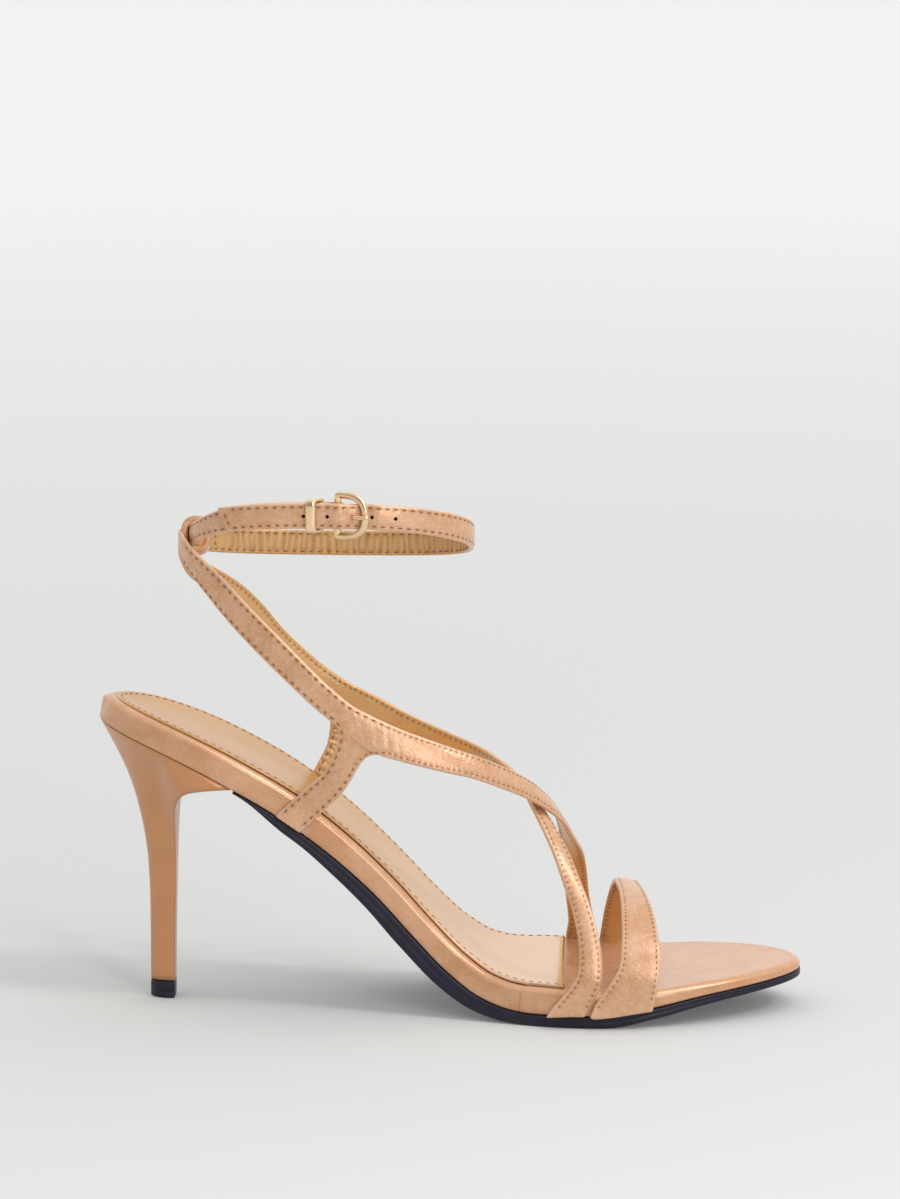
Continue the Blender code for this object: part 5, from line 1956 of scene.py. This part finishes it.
def make_floor():
    bm = bmesh.new()
    bmesh.ops.create_grid(bm, x_segments=2, y_segments=2, size=14.0)
    floor = add_object("floor", mesh_from("floor", bm))
    floor.data.materials.append(floor_material())


def add_light(name, kind, place, energy, aim=(0.09, 0.0, 0.07), **shape):
    """A light at a place that is turned to the shoe's middle."""
    data = bpy.data.lights.new(name, kind)
    data.energy = energy
    for key, value in shape.items():
        setattr(data, key, value)
    light = add_object(name, data)
    light.location = place
    light.rotation_euler = (Vector(aim) - Vector(place)).to_track_quat("-Z", "Y").to_euler()


def make_lights():
    """A soft sun and two strips that draw the satin's highlights."""
    stage = bpy.context.scene.sandal_stage
    add_light("key_sun", "SUN", (0.9, -0.50, 1.1), stage.sun_power, angle=math.radians(10.0),
              color=(1.0, 0.985, 0.96))
    add_light("front_strip", "AREA", (0.55, -1.05, 0.55), stage.strip_power,
              shape="RECTANGLE", size=0.25, size_y=0.8)
    add_light("top_strip", "AREA", (0.48, -0.26, 0.92), stage.strip_power * TOP_SHARE,
              shape="RECTANGLE", size=0.2, size_y=0.5)
    make_surround(stage)


def make_surround(stage):
    """A pale studio that is darker on the viewer's side, so that metal and satin have contrast."""
    world = bpy.data.worlds.new("surround")
    bpy.context.scene.world = world
    world.use_nodes = True
    tree = world.node_tree
    back = tree.nodes["Background"]
    back.inputs["Color"].default_value = (*stage.sky, 1.0)
    axes = own_axes(tree)
    high = maths(tree, "MULTIPLY", axes["Z"], SKY_RISE)
    far = maths(tree, "MULTIPLY", axes["Y"], SKY_TURN)
    light = maths(tree, "ADD", maths(tree, "ADD", high, far), SKY_LEVEL, clamp=True)
    light = maths(tree, "MULTIPLY", light, stage.sky_power)
    tree.links.new(light, back.inputs["Strength"])


def make_camera():
    """The photograph's angle: aimed at TARGET from DISTANCE, with a slight roll."""
    pitch, yaw, roll = (math.radians(turn) for turn in (PITCH, YAW, ROLL))
    ahead = Vector((-math.sin(yaw) * math.cos(pitch), math.cos(yaw) * math.cos(pitch),
                    -math.sin(pitch)))
    right = Vector((math.cos(yaw), math.sin(yaw), 0.0))
    up = right.cross(ahead)
    turned_right = right * math.cos(roll) + up * math.sin(roll)
    turned_up = up * math.cos(roll) - right * math.sin(roll)
    data = bpy.data.cameras.new("camera")
    data.sensor_fit = "VERTICAL"
    data.sensor_height = SENSOR
    data.lens = LENS
    data.clip_end = 60.0
    camera = add_object("camera", data)
    turned = Matrix((turned_right, turned_up, -ahead)).transposed().to_4x4()
    turned.translation = Vector(TARGET) - ahead * DISTANCE
    camera.matrix_world = turned
    bpy.context.scene.camera = camera


# Operators

class SANDAL_OT_sole(bpy.types.Operator):
    """Builds the covered board, the sock lining with its thread, and the outsole"""

    bl_idname = "sandal.sole"
    bl_label = "Sole, Sock and Outsole"

    def execute(self, context):
        make_board()
        make_toe_cover()
        make_sock()
        make_sock_stitches()
        make_outsole()
        return {"FINISHED"}


class SANDAL_OT_heel(bpy.types.Operator):
    """Builds the slim covered heel and its rubber tip"""

    bl_idname = "sandal.heel"
    bl_label = "Heel and Tip"

    def execute(self, context):
        make_heel()
        return {"FINISHED"}


class SANDAL_OT_slings(bpy.types.Operator):
    """Builds the crossed slings with their side branches and the rear loop"""

    bl_idname = "sandal.slings"
    bl_label = "Crossed Slings"

    def execute(self, context):
        make_slings()
        make_sleeve()
        return {"FINISHED"}


class SANDAL_OT_toe_band(bpy.types.Operator):
    """Builds the band over the toes"""

    bl_idname = "sandal.toe_band"
    bl_label = "Toe Band"

    def execute(self, context):
        make_toe_band()
        return {"FINISHED"}


class SANDAL_OT_ankle_strap(bpy.types.Operator):
    """Builds the ankle strap with its stitches, pleats and holes"""

    bl_idname = "sandal.ankle_strap"
    bl_label = "Ankle Strap"

    def execute(self, context):
        make_ankle_strap()
        return {"FINISHED"}


class SANDAL_OT_buckle(bpy.types.Operator):
    """Builds the buckle frame, its prong and the keeper"""

    bl_idname = "sandal.buckle"
    bl_label = "Buckle and Keeper"

    def execute(self, context):
        make_buckle()
        make_keeper()
        return {"FINISHED"}


class SANDAL_OT_stage(bpy.types.Operator):
    """Builds the floor, the lights and the camera"""

    bl_idname = "sandal.stage"
    bl_label = "Floor, Lights and Camera"

    def execute(self, context):
        make_floor()
        make_lights()
        make_camera()
        context.scene.view_settings.view_transform = "Standard"
        return {"FINISHED"}


STEPS = ("sole", "heel", "slings", "toe_band", "ankle_strap", "buckle", "stage")


class SANDAL_PT_panel(bpy.types.Panel):
    """Lists the sandal's pieces in the order that they are built"""

    bl_idname = "SANDAL_PT_panel"
    bl_label = "Strappy Heeled Sandal"
    bl_space_type = "VIEW_3D"
    bl_region_type = "UI"
    bl_category = "Sandal"

    def draw(self, context):
        for step in STEPS:
            self.layout.operator("sandal." + step)
        for group in ("sandal_sizes", "sandal_colours", "sandal_stage"):
            settings = getattr(context.scene, group)
            for name in settings.__annotations__:
                self.layout.prop(settings, name)


CLASSES = (SandalSizes, SandalColours, SandalStage, SANDAL_OT_sole, SANDAL_OT_heel,
           SANDAL_OT_slings, SANDAL_OT_toe_band, SANDAL_OT_ankle_strap, SANDAL_OT_buckle,
           SANDAL_OT_stage, SANDAL_PT_panel)


def register():
    for kind in CLASSES:
        bpy.utils.register_class(kind)
    bpy.types.Scene.sandal_sizes = PointerProperty(type=SandalSizes)
    bpy.types.Scene.sandal_colours = PointerProperty(type=SandalColours)
    bpy.types.Scene.sandal_stage = PointerProperty(type=SandalStage)


def unregister():
    del bpy.types.Scene.sandal_stage
    del bpy.types.Scene.sandal_colours
    del bpy.types.Scene.sandal_sizes
    for kind in reversed(CLASSES):
        bpy.utils.unregister_class(kind)


def main():
    register()
    for step in STEPS:
        getattr(bpy.ops.sandal, step)()


if __name__ == "__main__":
    main()
